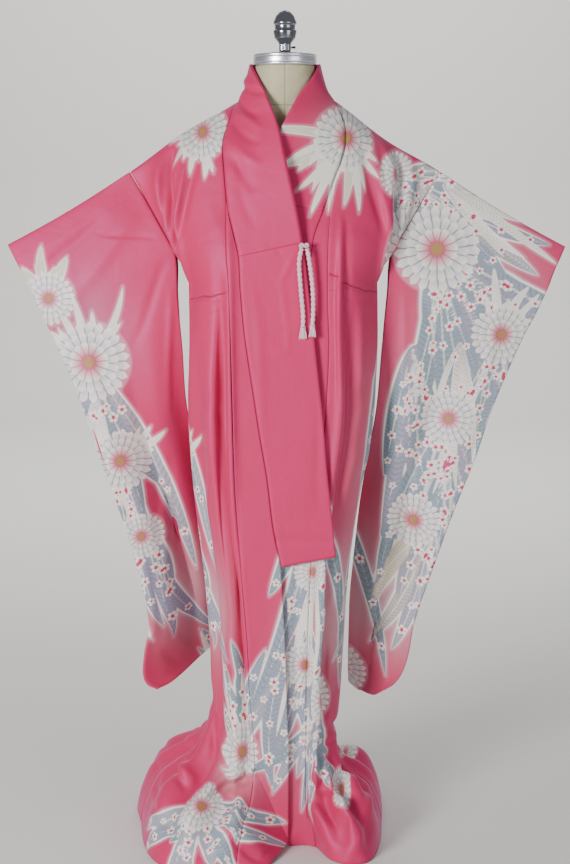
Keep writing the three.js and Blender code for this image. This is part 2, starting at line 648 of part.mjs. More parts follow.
// ---------------------------------------------------------------- sleeves
// Each sleeve's one width of cloth is in two halves, front and back, that meet at the fold on top.
const sleeveTopStart = 0.0006;   // a hair below the fold, which leaves the halves their gap
const sleeveAlong = [sleeveTopStart, 0.025, 0.06, 0.12, 0.18, 0.26, 0.34, 0.43, 0.52, 0.61, 0.7, 0.79, 0.87,
  0.92, 0.955, 0.98, 1];
const sleeveAcross = [0, 0.12, 0.26, 0.4, 0.54, 0.68, 0.82, 0.93, 1];
Object.entries(sleeveSides).forEach(([name, side]) => {
  Object.entries({ front: -1, back: 1 }).forEach(([half, face]) => {
    const surface = (u, along) => sleevePoint(side, face, u, along);
    add(`sleeve_${name}_${half}`, wall(surface, sleeveAlong, sleeveAcross, clothThickness), silkPink,
      clothRoughness);
  });
});

// ---------------------------------------------------------------- ties
const tieDiameter = 9;
const tieRoutes = {
  right: [[32, -142.4, 1195.5], [29, -142.4, 1184], [27, -142.4, 1168], [28, -142.5, 1146], [31, -143, 1110],
    [34.5, -143.3, 1072], [34.5, -143.3, 1046]],
  left: [[42, -142.4, 1195.2], [44.5, -142.2, 1184], [47, -142, 1168], [50, -141.5, 1146],
    [53.5, -141.5, 1110], [54, -142, 1072], [52.5, -142.5, 1050]],
};
const tieColour = 0xd9a9b8;
const tieEndGap = 0.6;
const tieEnd = { halfTop: 4.5, halfShoulder: 6.5, halfBottom: 9, depth: 3.5, shoulder: 5, height: 21 };
Object.entries(tieRoutes).forEach(([name, route]) => {
  add(`tie_${name}`, tube(route, tieDiameter, 8, 18), tieColour, 0.8);
  const [x, y, z] = route[route.length - 1];
  const topZ = z - tieEndGap;
  const end = loft([
    { z: topZ - tieEnd.height, half: tieEnd.halfBottom, front: tieEnd.depth, back: tieEnd.depth },
    { z: topZ - tieEnd.shoulder, half: tieEnd.halfShoulder, front: tieEnd.depth, back: tieEnd.depth },
    { z: topZ, half: tieEnd.halfTop, front: tieEnd.depth, back: tieEnd.depth },
  ], 12);
  add(`tie_end_${name}`, end.translate(x, y, 0), tieColour, 0.8);
});
const knotSize = { half: 11.5, depth: 5.5, height: 5.5 };
const knotPlace = [36.5, -142.3, 1201];
const knot = new THREE.SphereGeometry(1, 14, 8).scale(knotSize.half, knotSize.depth, knotSize.height)
  .translate(...knotPlace);
add('tie_knot', knot, tieColour, 0.8);

// ---------------------------------------------------------------- dress form
const torso = table('z half front back', [
  [800, 142, 100, 92], [830, 152, 103, 97], [880, 158, 105, 101], [930, 158, 104, 101], [1010, 146, 98, 92],
  [1120, 122, 88, 80], [1200, 134, 93, 88], [1280, 150, 96, 94], [1349, 160, 81, 94], [1395, 169, 66, 84],
  [1425, 159, 52, 71], [1451, 121, 46, 61], [1475, 80, 46, 58], [1497, 62, 51, 57], [1520, 59, 56, 58],
  [1545.5, 58, 58, 58]]);
const torsoSections = [];
for (let i = 0; i < torso.rows.length - 1; i += 1) {
  [0, 0.5].forEach((t) => {
    const z = mix(torso.rows[i][0], torso.rows[i + 1][0], t);
    torsoSections.push({
      z, half: look(torso, z, 'half'), front: look(torso, z, 'front'), back: look(torso, z, 'back'),
    });
  });
}
const neckTopZ = 1545.5;
torsoSections.push({ z: neckTopZ, half: 58, front: 58, back: 58 });
add('dress_form', loft(torsoSections, 24), 0xd8d2c2, 0.9);

const ringRadius = ringDiameter / 2;
const rim = 2;
add('neck_ring', turned([[0, ringBottomZ], [ringRadius - rim, ringBottomZ], [ringRadius, ringBottomZ + rim],
  [ringRadius, ringBottomZ + ringHeight - rim], [ringRadius - rim, ringBottomZ + ringHeight],
  [0, ringBottomZ + ringHeight]], 36), 0xaab0bb, 0.25, 1);

const finialBottomZ = ringBottomZ + ringHeight + layerGap;
const stemRadius = 11.5;
const finialProfile = table('radius height', [[0, 0], [15, 0], [15, 3], [stemRadius, 5],
  [stemRadius, 20], [13, 22], [20, 30], [22.8, 42], [22.8, 45], [20, 47], [20, 55], [22.8, 58], [22.8, 61], [20.7, 66], [18, 73], [12, 80],
  [5, 84], [0, 85]]);
add('finial', turned(finialProfile.rows.map(([r, z]) => [r, z + finialBottomZ]), 20), 0x2c2d30, 0.25, 1);
const screwRadius = 2.2;
const screwLength = 9;
const screwHeight = 13;          // above the finial's foot
const screw = new THREE.CylinderGeometry(screwRadius, screwRadius, screwLength, 12).rotateZ(Math.PI / 2)
  .translate(stemRadius + layerGap + screwLength / 2, 0, finialBottomZ + screwHeight);
add('thumb_screw', screw, 0x55565a, 0.35, 1);

const poleBottomZ = footHeight + layerGap;
const poleTopZ = torsoBottomZ - layerGap;
const poleRadius = poleDiameter / 2;
const poleGeometry = new THREE.CylinderGeometry(poleRadius, poleRadius, poleTopZ - poleBottomZ, 24)
  .rotateX(Math.PI / 2).translate(0, 0, (poleTopZ + poleBottomZ) / 2);
add('pole', poleGeometry, 0x8d9094, 0.3, 1);
const footRadius = footDiameter / 2;
const footProfile = [[0, 0], [footRadius, 0], [footRadius, footHeight * 0.4],
  [footRadius * 0.9, footHeight * 0.75], [poleDiameter, footHeight], [0, footHeight]];
add('base', turned(footProfile, 40), 0x26272a, 0.6, 0.6);

export default part;
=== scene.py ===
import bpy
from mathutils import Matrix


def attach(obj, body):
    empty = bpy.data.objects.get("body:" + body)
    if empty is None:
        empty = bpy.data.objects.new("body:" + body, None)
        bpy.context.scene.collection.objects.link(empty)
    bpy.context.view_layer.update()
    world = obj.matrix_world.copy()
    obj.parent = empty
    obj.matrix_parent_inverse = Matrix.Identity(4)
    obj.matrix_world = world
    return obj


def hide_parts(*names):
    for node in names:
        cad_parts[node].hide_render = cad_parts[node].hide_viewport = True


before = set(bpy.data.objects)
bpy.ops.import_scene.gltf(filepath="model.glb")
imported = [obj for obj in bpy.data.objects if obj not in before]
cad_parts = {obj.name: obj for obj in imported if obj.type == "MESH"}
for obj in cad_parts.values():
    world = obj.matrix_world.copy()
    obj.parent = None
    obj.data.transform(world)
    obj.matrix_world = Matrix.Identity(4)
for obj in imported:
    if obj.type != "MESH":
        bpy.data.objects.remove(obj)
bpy.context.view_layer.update()        # bodies, nodes and the record

import math
from functools import partial

import bpy
import numpy as np
from mathutils import Vector

print("frame loaded: %d solids" % len(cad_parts))

# camera at chest height in front of the form, looking a little down; lens and sensor in millimetres
cameraSpec = {"distance": 3.4, "height": 1.3, "pitchDown": 8.0, "sensorHeight": 36.0, "lens": 70.8333}


def makeCamera(spec):
    data = bpy.data.cameras.new("camera")
    data.sensor_fit = "VERTICAL"
    data.sensor_height, data.lens = spec["sensorHeight"], spec["lens"]
    camera = bpy.data.objects.new("camera", data)
    camera.location = (0, -spec["distance"], spec["height"])
    camera.rotation_euler = (math.radians(90 - spec["pitchDown"]), 0, 0)
    bpy.context.scene.collection.objects.link(camera)
    bpy.context.scene.camera = camera


makeCamera(cameraSpec)


# helpers for colours, shader nodes and meshes; points are in millimetres until a mesh is made
def linear(hexColour):
    channels = [int(hexColour[i:i + 2], 16) / 255 for i in (1, 3, 5)]
    return [c / 12.92 if c <= 0.04045 else ((c + 0.055) / 1.055) ** 2.4 for c in channels] + [1.0]


# adds a node; an input may be a value, a socket, or a node, whose main output is then linked
def addNode(tree, kind, inputs=None, **settings):
    node = tree.nodes.new("ShaderNode" + kind)
    for key, value in settings.items():
        setattr(node, key, value)
    for key, value in (inputs or {}).items():
        if isinstance(value, bpy.types.Node):
            value = value.outputs[2 if value.type == "MIX" else 0]
        if isinstance(value, bpy.types.NodeSocket):
            tree.links.new(value, node.inputs[key])
        else:
            node.inputs[key].default_value = value
    return node


def newMaterial(name):
    material = bpy.data.materials.new(name)
    material.use_nodes = True
    material.node_tree.nodes.clear()
    return material, partial(addNode, material.node_tree)


def meshObject(name, points, faces, materials, faceMaterials=None):
    points = np.asarray(points, float).reshape(-1, 3) * 0.001
    groups = faces if isinstance(faces, list) else [faces]      # one array for each size of face
    sizes = np.concatenate([np.full(len(group), group.shape[1]) for group in groups])
    mesh = bpy.data.meshes.new(name)
    mesh.vertices.add(len(points))
    mesh.vertices.foreach_set("co", points.astype(np.float32).ravel())
    mesh.loops.add(int(sizes.sum()))
    corners = np.concatenate([np.ravel(group) for group in groups])
    mesh.loops.foreach_set("vertex_index", corners.astype(np.int32))
    mesh.polygons.add(len(sizes))
    mesh.polygons.foreach_set("loop_start", (np.cumsum(sizes) - sizes).astype(np.int32))
    mesh.polygons.foreach_set("use_smooth", np.ones(len(sizes), bool))
    for material in materials:
        mesh.materials.append(material)
    if faceMaterials is not None:
        mesh.polygons.foreach_set("material_index", np.asarray(faceMaterials, np.int32))
    mesh.update(calc_edges=True)
    mesh.validate()
    thing = bpy.data.objects.new(name, mesh)
    bpy.context.scene.collection.objects.link(thing)
    return thing


def giveAttribute(thing, name, values):
    values = np.asarray(values, np.float32)
    kind = "FLOAT" if values.ndim == 1 else "FLOAT_VECTOR"
    attribute = thing.data.attributes.new(name, kind, "POINT")
    attribute.data.foreach_set("value" if kind == "FLOAT" else "vector", values.ravel())


# rings of points round a path, closed into a tube; radius gives each ring's size by angle
def tubeMesh(path, radius, sides):
    tangent = np.gradient(path, axis=0)
    tangent /= np.linalg.norm(tangent, axis=1)[:, None]
    normal = np.cross(tangent[0], [0.02, 1.0, 0.05])      # no path here starts that way
    angles = np.linspace(0, 2 * np.pi, sides, endpoint=False)
    rings = []
    for k, direction in enumerate(tangent):
        normal = normal - direction * np.dot(normal, direction)
        normal /= np.linalg.norm(normal)
        side = np.cross(direction, normal)
        reach = np.broadcast_to(radius(k / (len(path) - 1), angles), angles.shape)[:, None]
        rings.append(path[k] + reach * (np.cos(angles)[:, None] * normal + np.sin(angles)[:, None] * side))
    return np.concatenate(rings + [path[:1], path[-1:]]), *ringFaces(len(path), sides)


# quads between rings of points, and triangles that close the first and last ring on a middle point
def ringFaces(count, sides):
    here = np.arange(sides)
    there = (here + 1) % sides
    row = np.arange(count - 1)[:, None] * sides
    quads = np.stack([row + here, row + there, row + sides + there, row + sides + here], -1).reshape(-1, 4)
    last = (count - 1) * sides
    closed = np.concatenate([
        np.stack([np.full(sides, count * sides), there, here], -1),
        np.stack([np.full(sides, count * sides + 1), last + here, last + there], -1)])
    return quads, closed


def joined(parts):
    points, quads, triangles, start = [], [], [], 0
    for partPoints, partQuads, partTriangles in parts:
        points.append(partPoints)
        quads.append(partQuads + start)
        triangles.append(partTriangles + start)
        start += len(partPoints)
    return np.concatenate(points), [np.concatenate(quads), np.concatenate(triangles)]


# smooth curve through given points, evened out along its length
def curveThrough(points, count):
    points = np.asarray(points, float)
    padded = np.vstack([2 * points[0] - points[1], points, 2 * points[-1] - points[-2]])
    fine = []
    for i in range(len(points) - 1):
        a, b, c, d = padded[i:i + 4]
        for t in np.linspace(0, 1, 24, endpoint=False):
            fine.append(b + 0.5 * ((c - a) * t + (2 * a - 5 * b + 4 * c - d) * t * t
                                   + (3 * b - a - 3 * c + d) * t ** 3))
    fine = np.array(fine + [points[-1]])
    length = np.concatenate([[0], np.cumsum(np.linalg.norm(np.diff(fine, axis=0), axis=1))])
    even = np.linspace(0, length[-1], count)
    return np.stack([np.interp(even, length, fine[:, k]) for k in range(3)], axis=1), length[-1]


def turnedMesh(profile, sides, middle=(0, 0)):
    profile = np.asarray(profile, float)
    angles = np.linspace(0, 2 * np.pi, sides, endpoint=False)
    rings = np.stack([
        middle[0] + profile[:, :1] * np.cos(angles), middle[1] + profile[:, :1] * np.sin(angles),
        np.repeat(profile[:, 1:], sides, axis=1)], -1).reshape(-1, 3)
    ends = [[*middle, profile[0, 1]], [*middle, profile[-1, 1]]]
    return np.concatenate([rings, ends]), *ringFaces(len(profile), sides)


# rounds a profile's corners: each becomes a short curve that starts and ends this far from it, and never
# past the middle of a side
def softened(profile, reach, steps=4):
    profile = np.asarray(profile, float)
    out = [profile[0]]
    for before, corner, after in zip(profile, profile[1:], profile[2:]):
        a = corner + (before - corner) * min(reach / np.linalg.norm(before - corner), 0.48)
        b = corner + (after - corner) * min(reach / np.linalg.norm(after - corner), 0.48)
        for t in np.linspace(0, 1, steps):
            out.append((1 - t) ** 2 * a + 2 * t * (1 - t) * corner + t * t * b)
    return np.array(out + [profile[-1]])


def mix(a, b, t):
    return a + (b - a) * t


def ease(t):
    t = np.clip(t, 0, 1)
    return t * t * (3 - 2 * t)


def bump(x, width):
    return np.exp(-(x / width) ** 2)


# woven linen, matt and slightly slubby, with sewn seams down the middle and round the foot of the neck
linenSpec = {"dark": "#a9a282", "pale": "#cbc4a4", "seam": "#6f694f", "threads": 330.0, "slub": 60.0,
             "neckSeam": 1.483, "neckSlope": -0.296, "seamHalf": 0.0004, "seamFade": 0.0013}


def linenMaterial(spec):
    material, add = newMaterial("linen")
    place = add("TexCoord").outputs["Object"]
    warp, weft = (add("TexWave", {"Vector": place, "Scale": spec["threads"], "Distortion": 1.4,
                                  "Detail": 2.0}, bands_direction=axis) for axis in ("X", "Z"))
    weave = add("Math", {0: warp, 1: weft}, operation="ADD")
    slub = add("TexNoise", {"Vector": place, "Scale": spec["slub"], "Detail": 4.0})
    tone = add("Mix", {0: slub, 6: linear(spec["dark"]), 7: linear(spec["pale"])}, data_type="RGBA")
    # distance to the nearer seam; the neck's is lower in front
    split = add("SeparateXYZ", {0: place})
    fromMiddle = add("Math", {0: split}, operation="ABSOLUTE")
    height = add("VectorMath", {0: place, 1: (0.0, spec["neckSlope"], 1.0)}, operation="DOT_PRODUCT")
    fromNeck = add("Math", {0: height.outputs["Value"], 1: spec["neckSeam"]}, operation="SUBTRACT")
    aside = add("Math", {0: fromNeck}, operation="ABSOLUTE")
    nearest = add("Math", {0: fromMiddle, 1: aside}, operation="MINIMUM")
    sewn = add("MapRange", {0: nearest, 1: spec["seamHalf"], 2: spec["seamFade"], 3: 1.0, 4: 0.0})
    shaded = add("Math", {0: sewn, 1: 0.45}, operation="MULTIPLY")
    tone = add("Mix", {0: shaded, 6: tone, 7: linear(spec["seam"])}, data_type="RGBA")
    relief = add("Bump", {"Height": weave, "Strength": 0.35, "Distance": 0.0003})
    furrow = add("Bump", {"Height": sewn, "Strength": 0.6, "Distance": 0.001, "Normal": relief},
                 invert=True)
    surface = add("BsdfPrincipled", {"Base Color": tone, "Roughness": 0.9, "Normal": furrow})
    add("OutputMaterial", {"Surface": surface})
    return material


# bare metal; marks gives faint turning or brushing lines round the axis, so many to the metre
def metalMaterial(name, colour, roughness, marks=0.0, markStrength=0.1):
    material, add = newMaterial(name)
    values = {"Base Color": linear(colour), "Metallic": 1.0, "Roughness": roughness}
    if marks:
        place = add("TexCoord").outputs["Object"]
        wave = add("TexWave", {"Vector": place, "Scale": marks, "Distortion": 0.6, "Detail": 3.0},
                   bands_direction="Z")
        values["Normal"] = add("Bump", {"Height": wave, "Strength": markStrength, "Distance": 0.0001})
    surface = add("BsdfPrincipled", values)
    add("OutputMaterial", {"Surface": surface})
    return material


# soft silk braid: fine fibres, a little sheen
def braidMaterial(dark, pale):
    material, add = newMaterial("silk braid")
    place = add("TexCoord").outputs["Object"]
    fibre = add("TexNoise", {"Vector": place, "Scale": 900.0, "Detail": 3.0})
    tone = add("Mix", {0: fibre, 6: linear(dark), 7: linear(pale)}, data_type="RGBA")
    relief = add("Bump", {"Height": fibre, "Strength": 0.3, "Distance": 0.0004})
    surface = add("BsdfPrincipled", {"Base Color": tone, "Roughness": 0.6, "Sheen Weight": 0.5,
                                     "Sheen Roughness": 0.4, "Normal": relief})
    add("OutputMaterial", {"Surface": surface})
    return material


linen = linenMaterial(linenSpec)
aluminium = metalMaterial("polished aluminium", "#f2f4f8", 0.3, 420.0, 0.12)      # turned on a lathe, bright
darkMetal = metalMaterial("dark polished metal", "#97989e", 0.16)      # plated and polished, dark reflections
screwSteel = metalMaterial("blackened steel", "#4a4b4e", 0.3)
steel = metalMaterial("brushed steel", "#b4b7ba", 0.3, 300.0, 0.2)
enamel = metalMaterial("black enamelled iron", "#33343a", 0.45)
braid = braidMaterial("#cf9aac", "#efd3dc")

# the two front ties: braided cords that hang from a knot on the collar's edge
ties = {"diameter": 9.0, "turns": 15, "routes": {
    "right": [[32, -142.4, 1195.5], [29, -142.4, 1184], [27, -142.4, 1168], [28, -142.5, 1146],
              [31, -143, 1110], [34.5, -143.3, 1072], [34.5, -143.3, 1046]],
    "left": [[42, -142.4, 1195.2], [44.5, -142.2, 1184], [47, -142, 1168], [50, -141.5, 1146],
             [53.5, -141.5, 1110], [54, -142, 1072], [52.5, -142.5, 1050]]}}


def braidedRadius(part, angles):
    # four strands plaited: two sets of ridges that wind opposite ways
    turn = np.pi * ties["turns"] * part
    ridges = np.maximum(np.cos(2 * (angles - turn)), np.cos(2 * (angles + turn)))
    return ties["diameter"] / 2 * (0.86 + 0.14 * ridges)


# a tassel end: a wound collar, then threads that flare and wave a little; halves are across and deep
tasselSpec = {"winds": 4, "wound": 6.0, "woundHalf": [4.6, 3.7], "cord": 0.85, "strands": 26, "thread": 1.15,
              "length": 24.0, "rootHalf": [3.2, 2.2], "endHalf": [8.0, 3.0], "seed": 7}


def tasselParts(top, seed):
    random = np.random.default_rng(seed)
    spec = tasselSpec
    x, y, z = top
    a = np.linspace(0, 2 * np.pi * spec["winds"], 120)
    path = np.stack([x + spec["woundHalf"][0] * np.cos(a), y + spec["woundHalf"][1] * np.sin(a),
                     z - 0.8 - spec["wound"] * a / a[-1]], -1)
    parts = [tubeMesh(path, lambda part, angles: spec["cord"], 8)]
    for k in range(spec["strands"]):
        angle = 2 * math.pi * k / spec["strands"] + random.uniform(-0.1, 0.1)
        across, deep = math.sqrt(random.uniform(0.1, 1.0)) * np.array([math.cos(angle), math.sin(angle)])
        bottom = spec["length"] * random.uniform(0.9, 1.0)
        start = top + [spec["rootHalf"][0] * across, spec["rootHalf"][1] * deep, -1.0]
        wide = spec["endHalf"][0] * across + random.uniform(-0.6, 0.6)
        end = top + [wide, spec["endHalf"][1] * deep, -bottom]
        middle = mix(start, end, 0.5) + [random.uniform(-0.8, 0.8), random.uniform(-0.3, 0.3), 0]
        line, length = curveThrough([start, middle, end], 12)
        parts.append(tubeMesh(line, lambda part, angles: spec["thread"] * (1 - 0.25 * part), 6))
    return parts


for tieName, route in ties["routes"].items():
    line, length = curveThrough(route, 300)
    points, quads, triangles = tubeMesh(line, braidedRadius, 24)
    tie = meshObject("tie-" + tieName, points, [quads, triangles], [braid])
    points, faces = joined(tasselParts(line[-1] - [0, 0, 0.3], tasselSpec["seed"] + len(tieName)))
    tassel = meshObject("tassel-" + tieName, points, faces, [braid])
    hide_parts("tie_" + tieName)
    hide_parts("tie_end_" + tieName)
    for piece in (tie, tassel):
        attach(piece, "root")
    print("tie %s: %.0f mm" % (tieName, length))

# their knot: the cord wound over itself, low and wide
knotSpec = {"place": [36.5, -142.3, 1201], "half": [7.3, 2.3, 2.6], "cord": 2.9, "rings": 220, "strands": 3}
angles = np.linspace(0, 2 * np.pi, knotSpec["rings"], endpoint=False)
path = np.stack([np.sin(angles), np.cos(3 * angles), np.sin(2 * angles)], -1) * knotSpec["half"]
path += knotSpec["place"]
points, quads, triangles = tubeMesh(
    np.vstack([path, path[:1]]), lambda part, around: knotSpec["cord"] * (
        0.94 + 0.06 * np.cos(knotSpec["strands"] * around + 60 * math.pi * part)), 16)
knot = meshObject("tie-knot", points, [quads, triangles], [braid])
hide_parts("tie_knot")
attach(knot, "root")
print("ties made")

# pale floor that curves up into a wall far behind, plain
stageSpec = {"colour": "#dcdad6", "half": 9000, "wallAt": 6200, "bend": 1500}
bend = np.linspace(0, np.pi / 2, 12)
profile = [[-stageSpec["half"], 0], *np.stack([stageSpec["wallAt"] + stageSpec["bend"] * np.sin(bend),
                                               stageSpec["bend"] * (1 - np.cos(bend))], -1),
           [stageSpec["wallAt"] + stageSpec["bend"], stageSpec["half"]]]
points = np.array([[x, y, z] for y, z in profile for x in (-stageSpec["half"], stageSpec["half"])])
faces = np.array([[2 * k, 2 * k + 1, 2 * k + 3, 2 * k + 2] for k in range(len(profile) - 1)])
paper, add = newMaterial("pale backdrop paper")
surface = add("BsdfPrincipled", {"Base Color": linear(stageSpec["colour"]), "Roughness": 0.9})
add("OutputMaterial", {"Surface": surface})
meshObject("floor", points, faces, [paper])

# a soft key from the front left, a weaker fill from the right, one for the wall, and a low grey sky
lights = {"key": {"place": (-1.95, -2.8, 1.4), "target": (0, 0, 1.15), "size": 1.0, "power": 138},
          "fill": {"place": (2.2, -3.0, 1.2), "target": (0, 0, 1.0), "size": 2.0, "power": 32},
          "backdrop": {"place": (0, 3.4, 5.2), "target": (0, 7.6, 0.8), "size": 4.0, "power": 420}}
for name, spec in lights.items():
    data = bpy.data.lights.new(name, "AREA")
    data.shape, data.size, data.energy = "SQUARE", spec["size"], spec["power"]
    lamp = bpy.data.objects.new(name, data)
    lamp.location = spec["place"]
    lamp.rotation_euler = (Vector(spec["place"]) - Vector(spec["target"])).to_track_quat("Z", "Y").to_euler()
    bpy.context.scene.collection.objects.link(lamp)
world = bpy.data.worlds.new("studio")
world.use_nodes = True
sky = world.node_tree.nodes["Background"].inputs
sky["Color"].default_value, sky["Strength"].default_value = (0.9, 0.93, 1.0, 1), 0.3
bpy.context.scene.world = world
print("stage and lights made")


# smooth curve through a table's rows, whose first column is the key
def look(rows, key, column):
    rows = np.asarray(rows, float)
    if rows[0, 0] > rows[-1, 0]:
        rows = rows[::-1]
    x, y = rows[:, 0], rows[:, column]
    slope = np.concatenate([
        [(y[1] - y[0]) / (x[1] - x[0])], (y[2:] - y[:-2]) / (x[2:] - x[:-2]),
        [(y[-1] - y[-2]) / (x[-1] - x[-2])]])
    i = np.clip(np.searchsorted(x, key, side="right") - 1, 0, len(x) - 2)
    span = x[i + 1] - x[i]
    t = np.clip((key - x[i]) / span, 0, 1)
    return ((2 * t ** 3 - 3 * t ** 2 + 1) * y[i] + (t ** 3 - 2 * t ** 2 + t) * span * slope[i]
            + (3 * t ** 2 - 2 * t ** 3) * y[i + 1] + (t ** 3 - t ** 2) * span * slope[i + 1])


def along(points, direction, distance):
    return points + direction * np.asarray(distance)[..., None]


# direction square to a surface given as a function of two values
def surfaceNormal(surface, u, v, turn=1.0):
    e = 1e-3
    normal = np.cross(surface(u + e, v) - surface(u - e, v), surface(u, v + e) - surface(u, v - e))
    length = np.linalg.norm(normal, axis=-1, keepdims=True)
    return np.where(length > 1e-9, normal / np.maximum(length, 1e-9), [0.0, 0.0, 1.0]) * turn


# sizes of the cut and of how it is worn
garment = {"underarm": 1127, "shoulderX": 306, "shoulderZ": 1341, "backNeckZ": 1467, "backNeckLevel": 0.1,
           "seamReach": 0.72, "middleStation": 18, "collarBow": 7, "cloth": 1.6, "overCloth": 1.2,
           "lowest": 1.25, "collarWidth": 110, "slitHalf": 15.2, "slitFoot": 1040, "slitTop": 1125,
           "pileUp": 16, "pileOut": 9}

# collar strip: station, then its sewn edge x y z and its free edge x y z
collarRows = [
    [0, -8, -138.5, 574, 100, -138.5, 594], [1, -24, -138, 655, 90, -138.5, 690],
    [2, -35, -137.5, 747, 81, -138, 775], [3, -49, -137, 830, 74, -138, 862],
    [4, -62, -136.5, 916, 65, -137.5, 945], [5, -78, -136, 1024, 54, -137, 1045],
    [6, -86, -134, 1110, 44, -136.5, 1125], [7, -90, -130, 1179, 34, -135, 1206],
    [8, -101, -119, 1226, 24, -130, 1264], [9, -111, -106, 1270, 10, -121, 1328],
    [10, -118, -87, 1343, -2, -107, 1382], [11, -121, -64, 1399, -10, -93, 1420],
    [12, -108, -36, 1442, -20, -78, 1450], [13, -99, -12, 1468, -37, -58, 1490],
    [14, -91, 8, 1479, -54, -36, 1525], [15, -79, 36, 1480, -65, -6, 1547],
    [16, -60, 60, 1476, -64, 30, 1552], [17, -33, 74, 1470, -42, 60, 1545],
    [18, 0, 79, 1467, 0, 72, 1541], [19, 33, 74, 1470, 42, 60, 1545],
    [20, 60, 60, 1476, 64, 30, 1552], [21, 78, 36, 1482, 65, -6, 1547],
    [22, 90, 8, 1484, 54, -36, 1525], [23, 100, -12, 1472, 27, -57, 1490],
    [24, 117, -40, 1432, 4, -76, 1448], [25, 116, -64, 1382, -14, -84, 1410],
    [26, 95, -86, 1325, -32, -94, 1358], [27, 74, -104, 1265, -46, -107, 1290],
    [28, 54, -118, 1207, -44, -117, 1200], [29, 45, -123, 1100, -18, -123, 1096],
    [30, 36, -124, 1000, -28, -124, 996], [31, 22, -125, 900, -42, -125, 896],
    [32, 10, -125.5, 800, -54, -125.5, 796], [33, -5, -126, 700, -68, -126, 695],
    [34, -20, -126, 585, -82, -126, 580]]

# each side of the body: edges by height (z x), then the hem on the floor (u x y flare)
bodySides = {
    "right": {
        "sign": -1, "okumiTop": 1290, "ridgeStation": 13.7, "collarEnd": 0, "shoulderBow": 8,
        "frontY": -138.5,
        "seam": [[1290, -113.5], [1179, -112], [1121, -108], [960, -103], [746, -98], [586, -88], [425, -75],
                 [300, -69], [220, -62], [0, -56]],
        "free": [[574, -8], [500, -4], [427, 0], [300, 4], [209, 7], [0, 7]],
        "side": [[1127, -183], [1020, -187], [887, -191.5], [724, -182.5], [558, -163.5], [390, -150],
                 [200, -149]],
        "hem": [[-1, -32, -245, 14], [-0.6, -52, -255, 70], [0, -95, -262, 165], [0.15, -132, -268, 185],
                [0.4, -202, -258, 215], [0.6, -252, -218, 240], [0.8, -282, -130, 255], [1, -300, 0, 262]],
        "backHem": [[0, -44, 322, 200], [0.25, -185, 305, 220], [0.45, -268, 264, 240],
                    [0.65, -308, 190, 255], [0.85, -315, 90, 262], [1, -300, 0, 262]],
        # across drift width height from to
        "folds": [[0.11, 0.02, 0.06, -20, 1120, 200], [0.27, -0.02, 0.09, 7, 1100, 250],
                  [0.56, 0.05, 0.1, -9, 1050, 250], [0.8, 0, 0.09, 5, 1100, 250]]},
    "left": {
        "sign": 1, "okumiTop": 1315, "ridgeStation": 22.3, "collarEnd": 34, "shoulderBow": -9, "frontY": -126,
        "seam": [[1315, 91.5], [1210, 83], [1095, 82], [1000, 85], [855, 77], [745, 64], [585, 52], [427, 45],
                 [222, 42], [0, 42]],
        "free": [[585, -20], [430, -30], [220, -40], [0, -45]],
        "side": [[1127, 175.5], [1088, 178], [1000, 182], [887, 179.5], [785, 168], [724, 154], [558, 128.6],
                 [390, 117], [263, 108], [200, 96]],
        "hem": [[-1, -46, -130, 40], [-0.5, 5, -131, 50], [0, 62, -140, 100], [0.15, 92, -208, 150],
                [0.4, 140, -228, 190], [0.6, 172, -200, 195], [0.8, 192, -110, 200], [1, 201, 0, 200]],
        "backHem": [[0, -44, 322, 200], [0.2, 90, 315, 200], [0.4, 168, 277, 200], [0.6, 205, 205, 200],
                    [0.8, 207, 110, 200], [1, 201, 0, 200]],
        "folds": [[0.17, 0.04, 0.06, 8, 1250, 260], [0.32, 0.05, 0.08, -13, 1150, 220],
                  [0.72, 0, 0.12, 6, 1150, 250]]}}
backLine = [[1467, 0, 79], [1430, 0, 92], [1380, 0, 104], [1300, 0, 109], [1180, 0, 106], [1050, -2, 112],
            [900, -5, 124], [700, -9, 128], [450, -15, 126], [250, -20, 122], [150, -22, 120]]
# how pooled cloth leaves the column: part of the way down its length, outward, height left
poolShape = [[0, 0, 1], [0.14, 0.1, 0.8], [0.3, 0.26, 0.62], [0.5, 0.5, 0.52], [0.7, 0.75, 0.4],
             [0.85, 0.92, 0.2], [0.94, 0.98, 0.07], [1, 1, 0]]
backFolds = [[0.16, 0.03, 0.08, -9, 1050, 150], [0.34, 0.02, 0.08, 8, 1200, 150],
             [0.53, -0.03, 0.09, -13, 1000, 150], [0.74, 0, 0.08, 6, 1000, 150]]
shoulderFolds = [[0.4, 0.86, 0.07, 9], [0.56, 0.95, 0.05, -15], [0.72, 1.02, 0.06, 6]]


# a point on the collar: across is 0 at the sewn edge and 1 at the free one
def collarPoint(station, across):
    at = [look(collarRows, station, column) for column in range(1, 7)]
    point = np.stack([mix(at[k], at[k + 3], across) for k in range(3)], -1)
    radial = point * [1, 1, 0]
    radial /= np.maximum(np.linalg.norm(radial, axis=-1, keepdims=True), 1e-9)
    bow = garment["collarBow"] * bump(station - garment["middleStation"], 4) * np.sin(np.pi * across)
    return along(point, radial, bow)


def stationAt(side, z):
    stations = np.linspace(side["collarEnd"], side["ridgeStation"], 1500)
    return np.interp(z, look(collarRows, stations, 3), stations)


def collarEndZ(side):
    return look(collarRows, side["collarEnd"], 3)


def onCollar(side, z, column):
    return look(collarRows, stationAt(side, z), column)


